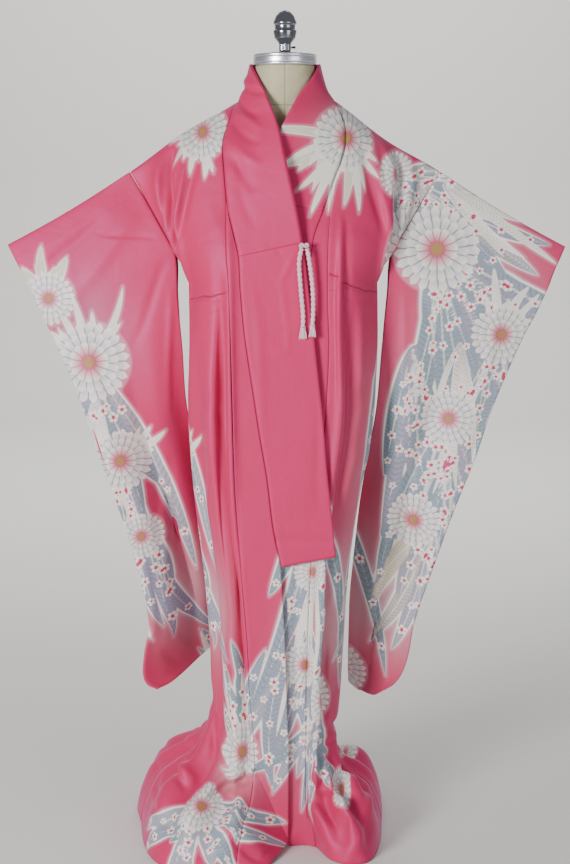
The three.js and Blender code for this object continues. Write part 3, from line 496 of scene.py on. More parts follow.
# a point on the hanging column at one height: u is 0 at the seam, 1 at the side and -1 at the free edge
def sectionPoint(side, face, u, z):
    sideX = look(side["side"], z, 1)
    if face < 0:
        innerX = np.where(z > side["okumiTop"], onCollar(side, z, 1), look(side["seam"], z, 1))
        depth = np.where(z < collarEndZ(side), side["frontY"], onCollar(side, z, 2))
        freeX = np.where(z < collarEndZ(side), look(side["free"], z, 1), onCollar(side, z, 1))
    else:
        innerX, depth, freeX = look(backLine, z, 1), look(backLine, z, 2), 0
    angle = np.clip(u, 0, 1) * np.pi / 2
    # under the arm the side is open, so front and back stand apart
    slit = garment["slitHalf"] * ease((z - garment["slitFoot"]) / (garment["slitTop"] - garment["slitFoot"]))
    x = mix(innerX, sideX, np.sin(angle))
    y = face * (slit + (np.abs(depth) - slit) * np.cos(angle))
    return np.stack([np.where(u < 0, mix(innerX, freeX, -u), x), np.where(u < 0, depth, y), z + 0 * u], -1)


# half the armhole's width: it widens down to where the sleeve's seam ends, then narrows to the underarm
def armholeHalf(level):
    reach = garment["seamReach"]
    return 1.7 + 26.5 * ease(level / reach) - 13 * ease((level - reach) / (1 - reach))


# top of a body panel: level 0 is the shoulder ridge and 1 the underarm
def topPoint(side, face, u, level):
    underarm = garment["underarm"]
    ridgeZ = look(collarRows, side["ridgeStation"], 3)
    innerZ = mix(ridgeZ, underarm, level)
    if face < 0:
        innerX = np.where(innerZ > side["okumiTop"], onCollar(side, innerZ, 1), look(side["seam"], innerZ, 1))
        innerY = onCollar(side, innerZ, 2)
    else:
        start = garment["backNeckLevel"]
        turn = np.clip(level / start, 0, 1)
        station = mix(side["ridgeStation"], garment["middleStation"], turn)
        below = np.clip((level - start) / (1 - start), 0, 1)
        innerZ = np.where(turn < 1, look(collarRows, station, 3), mix(garment["backNeckZ"], underarm, below))
        innerX = np.where(turn < 1, look(collarRows, station, 1), 0)
        innerY = np.where(turn < 1, look(collarRows, station, 2), look(backLine, innerZ, 2))
    angle = u * np.pi / 2
    outerX = mix(side["sign"] * garment["shoulderX"], look(side["side"], underarm, 1), level)
    shoulderZ = mix(ridgeZ, garment["shoulderZ"], u) + side["shoulderBow"] * np.sin(np.pi * u) ** 2
    neckDrop = (innerZ - mix(ridgeZ, underarm, level)) * (1 - ease(u / 0.35))
    outward = mix(innerY * face, armholeHalf(level), 1 - np.cos(angle))
    return np.stack([mix(innerX, outerX, mix(u, np.sin(angle), level)), face * outward,
                     mix(shoulderZ, underarm, level) + neckDrop], -1)


# a body or overlap panel: level 0 to 1 over the shoulder, 2 at the start of the pool, 3 at the hem
def bodyPoint(side, face, u, level):
    u, level = np.broadcast_arrays(np.asarray(u, float), np.asarray(level, float))
    hem = side["hem"] if face < 0 else side["backHem"]
    flare = look(hem, u, 3)
    column = sectionPoint(side, face, u, mix(garment["underarm"], flare, np.clip(level - 1, 0, 1)))
    out = look(poolShape, np.clip(level - 2, 0, 1), 1)
    rise = look(poolShape, np.clip(level - 2, 0, 1), 2)
    pool = np.stack([mix(column[..., 0], look(hem, u, 1), out), mix(column[..., 1], look(hem, u, 2), out),
                     garment["lowest"] + (flare - garment["lowest"]) * rise], -1)
    low = np.where(level[..., None] > 2, pool, column)
    ridgeZ = look(collarRows, side["ridgeStation"], 3)
    top = topPoint(side, face, np.clip(u, 0, 2), level)
    panel = sectionPoint(side, face, u, mix(ridgeZ, garment["underarm"], level))
    return np.where(level[..., None] <= 1, np.where(u[..., None] < 0, panel, top), low)


# the panel with its large folds, and the waves that it lies in on the floor
def foldedBody(side, face, u, level):
    plain = bodyPoint(side, face, u, level)
    normal = surfaceNormal(lambda a, b: bodyPoint(side, face, a, b), u, level, face * side["sign"])
    fade = ease(u / 0.05) * ease((1 - u) / 0.08)
    height = np.zeros_like(u)
    z = plain[..., 2]
    for across, drift, width, rise, start, end in (side["folds"] if face < 0 else backFolds):
        run = np.clip((start - z) / (start - end), 0, 1)
        height += rise * ease((start - z) / 220) * bump(u - across - drift * run, width)
    height *= fade * np.where(level > 2, 1 - ease((level - 2) / 0.6), 1)
    strength = ease(level / 0.2) * (1 - ease((level - 0.95) / 0.3)) * (level < 1.25)
    for top, end, width, rise in shoulderFolds:
        height += rise * strength * fade * bump(u - mix(top, end, np.clip(level, 0, 1)), width)
    point = along(plain, normal, np.where(u > 0, height, 0))
    run = np.clip(level - 2, 0, 1)
    pile = np.sin(np.pi * run) ** 1.5 * ease(u / 0.12) * ease((1 - u) / 0.12) * (u > 0)
    wave = np.cos(2 * np.pi * (3 * u + 0.25 * face))
    point = along(point, np.array([0.0, 0.0, 1.0]), garment["pileUp"] * pile * wave)
    point = along(point, normal * [1, 1, 0], garment["pileOut"] * pile * wave)
    point[..., 2] = np.maximum(point[..., 2], garment["lowest"])
    return point


# sleeves: along, inner edge x y z, outer edge x y z, half the opening
sleeveSides = {
    "right": {"sign": -1, "body": bodySides["right"], "rows": [
        [0, -306, 0, 1341, -551, 0, 1198, 12], [0.09, -262, 0, 1264, -524, 0, 1146, 20],
        [0.18, -218.6, 0, 1187, -501, 0, 1100, 27], [0.27, -214, 2, 1098, -468, -2, 1022, 24],
        [0.37, -208, 10, 1000, -432, -8, 939, 20], [0.47, -206, 38, 885, -400, -14, 856, 20],
        [0.56, -195, 80, 801, -374, -20, 774, 20], [0.68, -176, 116, 684, -328, -20, 645, 20],
        [0.79, -152, 150, 573, -298, -20, 540, 19], [0.88, -138, 172, 480, -277, -20, 430, 17],
        [0.92, -132, 180, 440, -287, -20, 368, 14], [0.955, -128, 185, 408, -290, -20, 322, 10],
        [0.98, -125, 188, 386, -281, -18, 296, 6], [1, -122, 190, 372, -262, -14, 284, 3]]},
    "left": {"sign": 1, "body": bodySides["left"], "rows": [
        [0, 306, 0, 1341, 557, 0, 1194, 12], [0.09, 259, 0, 1264, 536, 0, 1148, 20],
        [0.18, 213.2, 0, 1187, 519, 0, 1104, 27], [0.27, 204, 2, 1098, 482, 0, 1024, 24],
        [0.37, 195, 9, 1000, 448, 0, 946, 20], [0.47, 189, 28, 885, 416, -4, 866, 20],
        [0.56, 181, 54, 801, 386, -10, 776, 20], [0.68, 168, 86, 684, 341, -20, 663, 20],
        [0.79, 160, 110, 573, 300, -20, 545, 19], [0.88, 150, 118, 460, 263, -18, 430, 17],
        [0.92, 146, 118, 392, 253, -14, 368, 14], [0.955, 142, 118, 335, 240, -8, 322, 10],
        [0.98, 139, 118, 296, 222, -2, 292, 6], [1, 136, 118, 268, 196, 6, 273, 3]]}}
sleeveSeam = 0.18      # part of the way down at which the sleeve leaves the body
# across drift width height from
sleeveFolds = [[0.22, 0.05, 0.12, 16, 0.2], [0.55, -0.1, 0.13, -20, 0.3], [0.82, -0.05, 0.1, 10, 0.35]]


# the sheet midway between a sleeve's two faces: u is 0 at the body and 1 at the cuff
def sleeveMiddle(side, u, down):
    at = [look(side["rows"], down, column) for column in range(1, 7)]
    seamPart = down / sleeveSeam
    level = garment["seamReach"] * seamPart
    sign, underarm = side["sign"], garment["underarm"]
    edgeX = mix(sign * garment["shoulderX"], look(side["body"]["side"], underarm, 1), level)
    sewn = np.stack([edgeX + sign * 0.9, 0 * level, mix(garment["shoulderZ"], underarm, level)], -1)
    inner = np.where((down < sleeveSeam)[..., None], sewn, np.stack(at[:3], -1))
    point = mix(inner, np.stack(at[3:], -1), u[..., None])
    for across, drift, width, height, start in sleeveFolds:
        strength = ease((down - start) / 0.35) * (1 - 0.65 * ease((down - 0.75) / 0.25))
        point[..., 1] -= height * strength * bump(u - across - drift * down, width)
    point[..., 2] -= (5 * bump(down, 0.12) + 9 * ease((down - 0.85) / 0.15)) * np.sin(np.pi * u)
    point[..., 2] += 6 * ease((down - 0.94) / 0.06) * bump(1 - u, 0.1)      # rounded outer corner
    return point


def sleevePoint(side, face, u, down):
    u, down = np.broadcast_arrays(np.asarray(u, float), np.asarray(down, float))
    normal = surfaceNormal(lambda a, b: sleeveMiddle(side, a, b), u, np.minimum(down, 0.998))
    normal = np.where(normal[..., 1:2] * face < 0, -normal, normal)
    sewn = garment["cloth"] / 2 + 0.8
    cuff = 1 - ease((down - 0.23) / 0.05)
    roundness = mix(1 - np.abs(u) ** 2.4, 1 - 0.5 * u * u, cuff)
    top = np.sqrt(np.clip(down / 0.05, 0, 1))
    free = sewn * top + (look(side["rows"], down, 7) - sewn) * roundness * top
    seamPart = down / sleeveSeam
    sewnOn = (1 - ease(u / 0.3)) * (1 - ease((seamPart - 1) / 0.4))
    half = mix(free, armholeHalf(np.minimum(seamPart, 1) * garment["seamReach"]), sewnOn)
    return along(sleeveMiddle(side, u, down), normal, half)


# creases on top of the large folds, in the front view: from x z, to x z, half width, height
creases = {
    "body front": [
        [-164, 1387, -214, 1205, 9, -7], [-186, 1392, -222, 1215, 8, 6],
        [-206, 1384, -230, 1196, 7, -5], [-232, 1372, -246, 1236, 8, -4],
        [-185, 1093, -111, 1116, 3.5, -2.6], [-183, 1084, -113, 1106, 6, 2.5],
        [-176, 960, -120, 850, 14, -3], [-172, 800, -130, 690, 16, -3], [-108, 1200, -94, 470, 9, 9],
        [-149, 1046, -146, 660, 10, 6], [-128, 1110, -116, 470, 10, -12],
        [-150, 560, -100, 420, 14, -3.5], [-140, 430, -70, 330, 16, 4],
        [-150, 1300, -120, 1180, 18, 2.5], [-98, 800, -88, 430, 6, -5], [87, 1146, 107, 1140, 3, -2],
        [108, 1128, 175, 1107, 3.5, -2.6], [106, 1235, 106, 900, 6, 7], [118, 1225, 118, 900, 7, -7],
        [150, 1390, 196, 1215, 9, -6], [176, 1386, 208, 1205, 8, 5], [204, 1372, 222, 1225, 5, -2.5],
        [170, 940, 120, 860, 14, -3], [150, 800, 110, 690, 14, 3], [122, 700, 80, 560, 14, -3],
        [110, 540, 60, 430, 14, 3.5], [150, 1080, 148, 860, 9, 3], [100, 420, 50, 300, 12, -3.5],
        [95, 330, 45, 240, 10, 3]],
    "pool": [
        [-160, 115, -55, 155, 10, -11], [-155, 130, -55, 170, 9, 8], [-115, 70, -100, 110, 8, -7],
        [-125, 85, -45, 30, 13, 9], [-115, 65, -30, 5, 9, -8], [-200, 35, -70, 40, 13, 7],
        [-245, 185, -185, 130, 10, 8], [-230, 150, -195, 125, 8, -7], [-270, 90, -200, 50, 9, -7],
        [-145, 310, -145, 170, 8, -8], [-200, 240, -165, 230, 10, -4], [-220, 245, -260, 180, 11, -4],
        [-250, 160, -270, 80, 10, -7], [-180, 95, -215, 35, 13, 5], [-245, 125, -265, 35, 12, 5],
        [80, 245, 150, 190, 9, -7], [85, 215, 125, 170, 10, 8], [70, 200, 105, 145, 9, -9],
        [30, 130, 95, 115, 9, -9], [95, 115, 135, 150, 9, -9], [135, 150, 155, 200, 9, -8],
        [160, 205, 140, 120, 10, 9], [175, 170, 160, 95, 9, -8], [185, 160, 170, 70, 9, 5],
        [125, 105, 110, 40, 12, -7], [160, 95, 120, 0, 12, 5], [50, 95, 75, 25, 13, 5],
        [25, 560, 25, 130, 9, -8], [60, 400, 60, 250, 10, 11], [40, 420, 45, 260, 7, -8],
        [80, 410, 80, 210, 7, -9]],
    "back pool": [
        [-240, 200, -120, 120, 12, 7], [-200, 240, -80, 180, 10, -7], [-60, 170, 40, 60, 12, 6],
        [60, 200, 140, 90, 10, -7], [120, 230, 190, 150, 10, 6], [-140, 90, -40, 40, 12, -6],
        [20, 260, 90, 200, 9, -6], [-280, 120, -200, 50, 11, -6], [-20, 260, -100, 215, 10, 6],
        [150, 90, 90, 30, 11, 6], [0, 110, 60, 150, 9, -5]],
    "body back": [
        [-70, 1420, -190, 1230, 10, -4], [-120, 1420, -216, 1225, 8, 3], [80, 1420, 196, 1235, 10, -4],
        [126, 1412, 214, 1228, 8, 3], [-150, 1112, -30, 1096, 4, -2.6], [40, 1098, 150, 1116, 4, -2.6],
        [-90, 1080, -60, 640, 10, 4], [-40, 1060, -30, 520, 9, -3.5], [60, 1070, 50, 600, 10, 4],
        [110, 1060, 92, 700, 9, -3], [-130, 900, -90, 760, 15, -3], [120, 860, 70, 720, 14, -3],
        [-120, 560, -60, 420, 14, 3.5], [90, 540, 40, 400, 14, -3.5], [-80, 380, -30, 260, 12, -3]],
    "sleeves": [
        [-252, 770, -246, 520, 7, 5], [-232, 760, -224, 560, 6, -4], [-430, 1150, -330, 700, 12, 3.5],
        [-364, 1219, -262, 1213, 4, -2.5], [-330, 1285, -520, 1110, 12, -3],
        [-300, 1240, -470, 1040, 14, 3], [-400, 900, -330, 560, 10, -4], [-300, 640, -262, 380, 10, 4],
        [-262, 560, -170, 400, 12, -3.5], [-280, 420, -180, 330, 12, 3.5],
        [-252, 360, -200, 310, 8, -3], [-228, 1100, -236, 860, 7, 3.5],
        [-238, 1160, -300, 1000, 9, -3.5], [-360, 1060, -300, 800, 16, 3],
        [330, 1285, 524, 1112, 12, -3], [300, 1236, 480, 1036, 14, 3], [404, 900, 336, 560, 10, -4],
        [262, 770, 252, 520, 8, 4.5], [284, 660, 240, 380, 10, 4], [236, 1100, 238, 860, 7, 3.5],
        [246, 1160, 310, 1000, 9, -3.5], [430, 1130, 372, 760, 12, 3.5], [250, 470, 160, 340, 12, -3.5],
        [232, 400, 150, 300, 10, 3], [206, 1000, 214, 700, 8, -3], [350, 760, 300, 560, 12, 3]],
    "collars": [
        [-32, 632, 100, 620, 6, -2.5], [-30, 618, 96, 604, 5, 1.4], [15, 1183, -8, 1126, 4, 1.6],
        [-8, 1126, 7, 1038, 4, 1.6], [7, 1038, 5, 996, 4, 1.4], [5, 996, -22, 996, 4, 1.4],
        [-16, 1194, -6, 1180, 2.5, -1.6], [-60, 1120, -40, 860, 9, 1.8], [60, 900, 66, 700, 8, -1.6],
        [-84, 1522, -50, 1500, 7, 4], [-82, 1506, -36, 1488, 6, -5], [-96, 1478, -50, 1446, 8, -5.5],
        [-98, 1456, -46, 1424, 8, 4.5], [-102, 1432, -56, 1394, 8, -4.5],
        [-108, 1400, -50, 1352, 9, 3.5], [-110, 1372, -60, 1310, 9, -4],
        [-96, 1330, -60, 1240, 8, -1.8], [-110, 1400, -90, 1320, 7, 1.6], [78, 1500, 44, 1480, 7, 2.4],
        [86, 1478, 56, 1452, 7, -2.8]]}


def creaseHeight(x, z, rows):
    height = np.zeros_like(x)
    for x0, z0, x1, z1, width, rise in rows:
        dx, dz = x1 - x0, z1 - z0
        part = ((x - x0) * dx + (z - z0) * dz) / (dx * dx + dz * dz)
        away = ((x - x0) * dz - (z - z0) * dx) / math.hypot(dx, dz)
        wander = 0.25 * width * np.sin(5.3 * part + x0)
        taper = np.sin(np.pi * np.clip((part + 0.1) / 1.2, 0, 1)) ** 0.8
        height += rise * taper * bump(away - wander, width)
    return height


# the painted design, drawn flat on a canvas in millimetres: x across, z up. Blades are long leaves:
# a fan grows from x z, from one angle to another (0 right, -90 down), with so many, so long and wide
bladeFans = {
    "low": [
        [-392, 965, -116, -58, 11, 300, 480, 22, 0.05], [-335, 765, -120, -68, 11, 230, 400, 21, 0.0],
        [-470, 1092, 60, 150, 6, 60, 110, 12, 0.62], [-300, 640, -110, -56, 8, 160, 290, 19, 0.3],
        [300, 1190, -104, -20, 15, 260, 450, 26, 0.02], [240, 1330, -72, 6, 12, 200, 350, 22, 0.1],
        [430, 1020, -124, -70, 12, 260, 430, 25, 0.0], [330, 860, -114, -70, 12, 280, 440, 25, 0.04],
        [300, 640, -125, -66, 10, 190, 310, 21, 0.35], [255, 1000, -104, -64, 9, 260, 400, 23, 0.02],
        [120, 1405, 165, 290, 9, 70, 170, 9, 0.7], [-170, 1420, 150, 330, 8, 50, 105, 9, 0.75],
        [-112, 190, 55, 128, 10, 90, 240, 19, 0.05], [60, 740, -112, -70, 10, 240, 470, 21, 0.02],
        [30, 470, -104, -62, 9, 220, 380, 20, 0.2], [120, 300, -150, -60, 10, 130, 260, 20, 0.05],
        [-190, 60, -160, 20, 11, 110, 240, 20, 0.05]],
    "high": [
        [-392, 965, 40, 160, 7, 90, 170, 9, 1.0], [-330, 765, 10, 70, 4, 70, 120, 8, 0.95],
        [-380, 900, -100, -74, 5, 180, 300, 7, 1.0], [310, 1320, -52, -10, 7, 150, 300, 10, 1.0],
        [430, 1020, 20, 120, 6, 70, 140, 9, 0.95], [350, 1010, -104, -84, 5, 200, 330, 8, 0.95],
        [120, 1405, 200, 262, 6, 90, 150, 8, 1.0], [120, 1405, -70, -20, 5, 60, 120, 8, 0.95],
        [-170, 1420, 190, 300, 6, 50, 90, 7, 1.0], [-110, 200, 70, 118, 5, 120, 190, 7, 0.95],
        [60, 560, -112, -80, 5, 140, 260, 7, 1.0], [-300, 560, -108, -76, 5, 110, 200, 8, 0.8]]}
# only on the back: rising from the hem, and across the shoulders
backFans = {
    "low": [[110, 330, 60, 130, 9, 150, 380, 15, 0.05], [-120, 300, 55, 125, 9, 150, 400, 15, 0.05],
            [0, 1330, 200, 340, 10, 90, 190, 13, 0.3]],
    "high": [[110, 330, 70, 112, 5, 120, 260, 8, 1.0], [-120, 300, 68, 115, 5, 120, 260, 8, 1.0],
             [0, 1330, 215, 325, 7, 80, 150, 8, 1.0]]}
# blooms: x z radius turn
bloomRows = [
    [-392, 965, 82, 0.1], [-332, 765, 62, 0.7], [-470, 1092, 54, 0.4], [-292, 610, 46, 0.2],
    [300, 1190, 86, 0.3], [432, 1020, 62, 0.9], [262, 640, 54, 0.5], [330, 850, 58, 0.0],
    [244, 1336, 46, 0.2], [120, 1405, 66, 0.6], [-168, 1418, 58, 0.2], [-112, 196, 60, 0.5],
    [58, 562, 42, 0.1], [40, 372, 46, 0.8], [118, 300, 54, 0.3], [-190, 60, 58, 0.6],
    [206, 90, 52, 0.2]]
backBlooms = [[112, 330, 76, 0.2], [-122, 300, 80, 0.6], [0, 1330, 78, 0.4], [-30, 700, 46, 0.1]]
# hand-sewn tucks at the waist: from x z to x z, on the front and the back
tucks = {"front": [[-190, 1091, -113, 1112], [108, 1128, 182, 1105], [84, 1147, 104, 1141]],
         "back": [[-160, 1098, -20, 1108], [20, 1108, 160, 1098]]}


# signed distance above the nearest tuck line, far off where there is none
def tuckDistance(x, z, isBack):
    away = np.full(x.shape, 50.0)
    for face, rows in tucks.items():
        for x0, z0, x1, z1 in rows:
            wander = 1.6 * np.sin(x / 11 + z0) + 0.8 * np.sin(x / 4.3)
            line = z - z0 - (z1 - z0) * (x - x0) / (x1 - x0) - wander
            on = (x > x0) & (x < x1) & (np.abs(line) < 30) & (isBack == (face == "back"))
            away = np.where(on, line, away)
    return away


# soft washes on the sleeves and hem: x z, half sizes, cream, lilac, deep pink
washes = [
    [-215, 470, 70, 110, 0.35, 0.2, 0], [-400, 1010, 90, 120, 0.0, 0.35, 0],
    [400, 1100, 110, 130, 0.25, 0.15, 0], [300, 760, 110, 200, 0.35, 0.1, 0],
    [200, 470, 90, 130, 0.45, 0.25, 0], [-430, 1200, 110, 40, 0, 0, 0.25],
    [-170, 345, 90, 50, 0, 0, 0.3], [180, 300, 90, 60, 0, 0, 0.35], [120, 1400, 60, 70, 0.3, 0.1, 0],
    [40, 330, 50, 160, 0.3, 0.2, 0], [-115, 160, 60, 70, 0.3, 0.1, 0]]


# each blade: its root and tip, its bend, half width and tone
def fanBlades(rows, seed):
    random = np.random.default_rng(seed)
    blades = []
    for x, z, start, end, count, short, long, width, tone in rows:
        for k in range(count):
            angle = math.radians(mix(start, end, (k + 0.5) / count) + random.uniform(-3, 3))
            length = mix(short, long, 0.5 + 0.5 * math.cos(2.4 * k + x)) * random.uniform(0.92, 1.08)
            bendBy = length * random.uniform(-0.16, 0.16)
            blades.append([x + 8 * math.cos(angle), z + 8 * math.sin(angle), x + length * math.cos(angle),
                           z + length * math.sin(angle), bendBy, width * random.uniform(0.75, 1.15),
                           min(max(tone + random.choice([0, 0, 0.12, 0.3]), 0), 1)])
    return blades


# points along a blade's middle, bent to one side
def bladeCurve(row, count):
    x0, z0, x1, z1, bendBy = row[:5]
    length = math.hypot(x1 - x0, z1 - z0)
    middle = [(x0 + x1) / 2 - (z1 - z0) / length * bendBy, (z0 + z1) / 2 + (x1 - x0) / length * bendBy]
    s = np.linspace(0, 1, count)[:, None]
    return (1 - s) ** 2 * np.array([x0, z0]) + 2 * s * (1 - s) * np.array(middle) + s * s * np.array([x1, z1])


bladeSteps, bladeMargin = 14, 34      # straight parts to a blade, and how far round it is looked at, in mm


# for each point: how far across the nearest blade (1 at its edge), how far along it, its tone, and
# the distance to its edge in millimetres
def bladeField(x, z, rows):
    across, gap = np.full(x.shape, 9.0), np.full(x.shape, 99.0)
    part, tone = np.zeros(x.shape), np.zeros(x.shape)
    for row in rows:
        curve = bladeCurve(row, bladeSteps + 1)
        low, high = curve.min(0) - row[5] - bladeMargin, curve.max(0) + row[5] + bladeMargin
        inside = (x > low[0]) & (x < high[0]) & (z > low[1]) & (z < high[1])
        if not inside.any():
            continue
        px, pz = x[inside], z[inside]
        away, at = np.full(px.shape, 1e9), np.zeros(px.shape)
        for k, (a, b) in enumerate(zip(curve[:-1], curve[1:])):
            step = b - a
            t = np.clip(((px - a[0]) * step[0] + (pz - a[1]) * step[1]) / (step @ step), 0, 1)
            distance = np.hypot(px - a[0] - t * step[0], pz - a[1] - t * step[1])
            closer = distance < away
            away, at = np.where(closer, distance, away), np.where(closer, (k + t) / bladeSteps, at)
        half = np.maximum(2.1 * row[5] * (at + 0.02) ** 0.45 * (1.0001 - at) ** 0.7, 0.7)
        closer = away / half < across[inside]
        for field, value in ((across, away / half), (part, at), (tone, row[6])):
            field[inside] = np.where(closer, value, field[inside])
        gap[inside] = np.minimum(gap[inside], away - half)
    return across, part, tone, gap


# for each point: its place in the nearest round motif, as parts of that motif's radius
def roundField(x, z, rows):
    best = np.full(x.shape, 9.0)
    dx, dz, gap = np.full(x.shape, 3.0), np.full(x.shape, 3.0), np.full(x.shape, 99.0)
    for row in rows:
        cx, cz, radius, turn = row
        inside = (np.abs(x - cx) < 3 * radius) & (np.abs(z - cz) < 3 * radius)
        a, b = (x[inside] - cx) / radius, (z[inside] - cz) / radius
        away = np.hypot(a, b)
        closer = away < best[inside]
        for field, value in ((dx, a * math.cos(turn) - b * math.sin(turn)),
                             (dz, a * math.sin(turn) + b * math.cos(turn)), (best, away)):
            field[inside] = np.where(closer, value, field[inside])
        gap[inside] = np.minimum(gap[inside], (away - 1) * radius)
    return dx, dz, best, gap


# everything painted on the front, or on the back, which has a few more fans and blooms
def designRows(back):
    low, high = fanBlades(bladeFans["low"], 3), fanBlades(bladeFans["high"], 5)
    blooms = list(bloomRows)
    if back:
        low += fanBlades(backFans["low"], 9)
        high += fanBlades(backFans["high"], 11)
        blooms += backBlooms
    spots = []
    for k, row in enumerate(low):
        if row[6] < 0.45:      # small five-petalled flowers along the blue-grey blades
            for part in np.arange(0.22 + 0.05 * (k % 3), 0.9, 0.2):
                radius = 8.5 + 1.25 * ((k + int(part * 10)) % 3)
                spots.append([*bladeCurve(row, 101)[int(part * 100)], radius, k * 0.7 + part])
    return low, high, blooms, spots


design = {face: designRows(face == "back") for face in ("front", "back")}
print("design: %d blades, %d blooms, %d small flowers" % (
    len(design["back"][0]) + len(design["back"][1]), len(design["back"][2]), len(design["back"][3])))


barbs = {"along": 210, "slant": 7}      # the phase of a leaf's fine dark barbs, from root to tip and across
# a leaf's colour: its tone runs from blue-grey through lilac and cream to white, rosier at the root
leafTones = {"at": [0.0, 0.3, 0.6, 1.0], "colours": ["#889ca2", "#999aab", "#d8ceb4", "#efe9dc"],
             "root": "#b39da8"}


def leafTint(tone, part):
    colours = np.array([linear(c)[:3] for c in leafTones["colours"]])
    tint = np.stack([np.interp(tone, leafTones["at"], colours[:, k]) for k in range(3)], -1)
    rosy = (0.55 * (1 - ease(part / 0.4)))[:, None]
    return mix(tint, np.array(linear(leafTones["root"])[:3]), rosy)


# what the painting's shader reads at each point of the canvas
def printFields(x, z, isBack):
    fields = {}
    for face in ("front", "back"):
        chosen = isBack if face == "back" else ~isBack
        if not chosen.any():
            continue
        cx, cz = x[chosen], z[chosen]
        low, high, blooms, spots = design[face]
        lowBlade, highBlade = bladeField(cx, cz, low), bladeField(cx, cz, high)
        bloom, spot = roundField(cx, cz, blooms), roundField(cx, cz, spots)
        gap = np.minimum(np.minimum(lowBlade[3], highBlade[3]), bloom[3])
        leaves = []
        for across, part, tone, _ in (lowBlade, highBlade):
            leaves.append(np.stack([across, barbs["along"] * part + barbs["slant"] * across, part], -1))
            leaves.append(leafTint(tone, part))
        wash = np.zeros((3, len(cx)))
        for wx, wz, rx, rz, cream, lilac, deep in washes:
            strength = np.exp(-((cx - wx) / rx) ** 2 - ((cz - wz) / rz) ** 2)
            wash += strength * np.array([cream, lilac, deep])[:, None]
        for name, value in (("leafLow", leaves[0]), ("tintLow", leaves[1]), ("leafHigh", leaves[2]),
                            ("tintHigh", leaves[3]), ("bloom", np.stack(bloom[:3], -1)),
                            ("spot", np.stack(spot[:3], -1)), ("wash", wash.T), ("glow", gap[:, None])):
            fields.setdefault(name, np.zeros((len(x), value.shape[1])))[chosen] = value
    fields["glow"] = fields["glow"][:, 0]
    return fields


# hand-painted silk satin: a smooth warp-faced weave whose sheen turns lilac at a glancing angle
silkColours = {"pink": "#ca2b5a", "deepPink": "#b61f46", "pale": "#ecd3dc", "cream": "#ded3c6",
               "lilac": "#a79eb2", "white": "#efe9df", "blueGrey": "#90a0a4", "slate": "#4c5a63",
               "rose": "#c92e58", "ochre": "#a9834a"}


def silkMaterial(name, painted):
    material, add = newMaterial(name)
    place = add("TexCoord").outputs["Object"]
    cloudy = add("TexNoise", {"Vector": place, "Scale": 7.0, "Detail": 3.0})
    shade = add("MapRange", {0: cloudy, 1: 0.35, 2: 0.7, 3: 0.0, 4: 0.22})
    base = add("Mix", {0: shade, 6: linear(silkColours["pink"]),
                       7: linear(silkColours["deepPink"])}, data_type="RGBA")
    if painted:
        base = paintedOver(add, base)

    # satin's fine threads, soft handling waves, and faint puckers along the seams
    threads = add("TexNoise", {"Vector": place, "Scale": 1400.0, "Detail": 1.0})
    soft = add("TexNoise", {"Vector": place, "Scale": 26.0, "Detail": 3.0, "Distortion": 0.6})
    seam = add("Attribute", attribute_name="seam")
    nearSeam = add("MapRange", {0: seam.outputs["Fac"], 1: 2.0, 2: 22.0, 3: 1.0, 4: 0.0})
    pucker = add("TexNoise", {"Vector": place, "Scale": 75.0, "Detail": 2.0})
    puckered = add("Math", {0: pucker, 1: nearSeam}, operation="MULTIPLY")
    fine = add("Bump", {"Height": threads, "Strength": 0.18, "Distance": 0.0002})
    wavy = add("Bump", {"Height": soft, "Strength": 0.3, "Distance": 0.004, "Normal": fine})
    gathered = add("Bump", {"Height": puckered, "Strength": 0.35, "Distance": 0.0025, "Normal": wavy})
    # hand-sewn tucks: a thin furrow where the signed distance to a tuck line passes nought, darkened there
    # with painted shade
    tuck = add("Attribute", attribute_name="tuck")
    offLine = add("Math", {0: tuck.outputs["Fac"]}, operation="ABSOLUTE")
    furrow = add("MapRange", {0: offLine, 1: 0.3, 2: 1.7, 3: 1.0, 4: 0.0}, interpolation_type="SMOOTHSTEP")
    relief = add("Bump", {"Height": furrow, "Strength": 0.9, "Distance": 0.0022,
                          "Normal": gathered}, invert=True)
    # painted shade in the tuck's furrow: the colour is mixed a quarter of the way to a deep red
    shaded = add("Math", {0: furrow, 1: 0.25}, operation="MULTIPLY")
    base = add("Mix", {0: shaded, 6: base, 7: linear("#5e1026")}, data_type="RGBA")
    surface = add("BsdfPrincipled", {
        "Base Color": base, "Roughness": 0.53, "Specular IOR Level": 0.6, "Specular Tint": linear("#d6b0f5"),
        "Sheen Weight": 0.42, "Sheen Roughness": 0.35, "Sheen Tint": linear("#dca6e6"), "Normal": relief})
    add("OutputMaterial", {"Surface": surface})
    return material


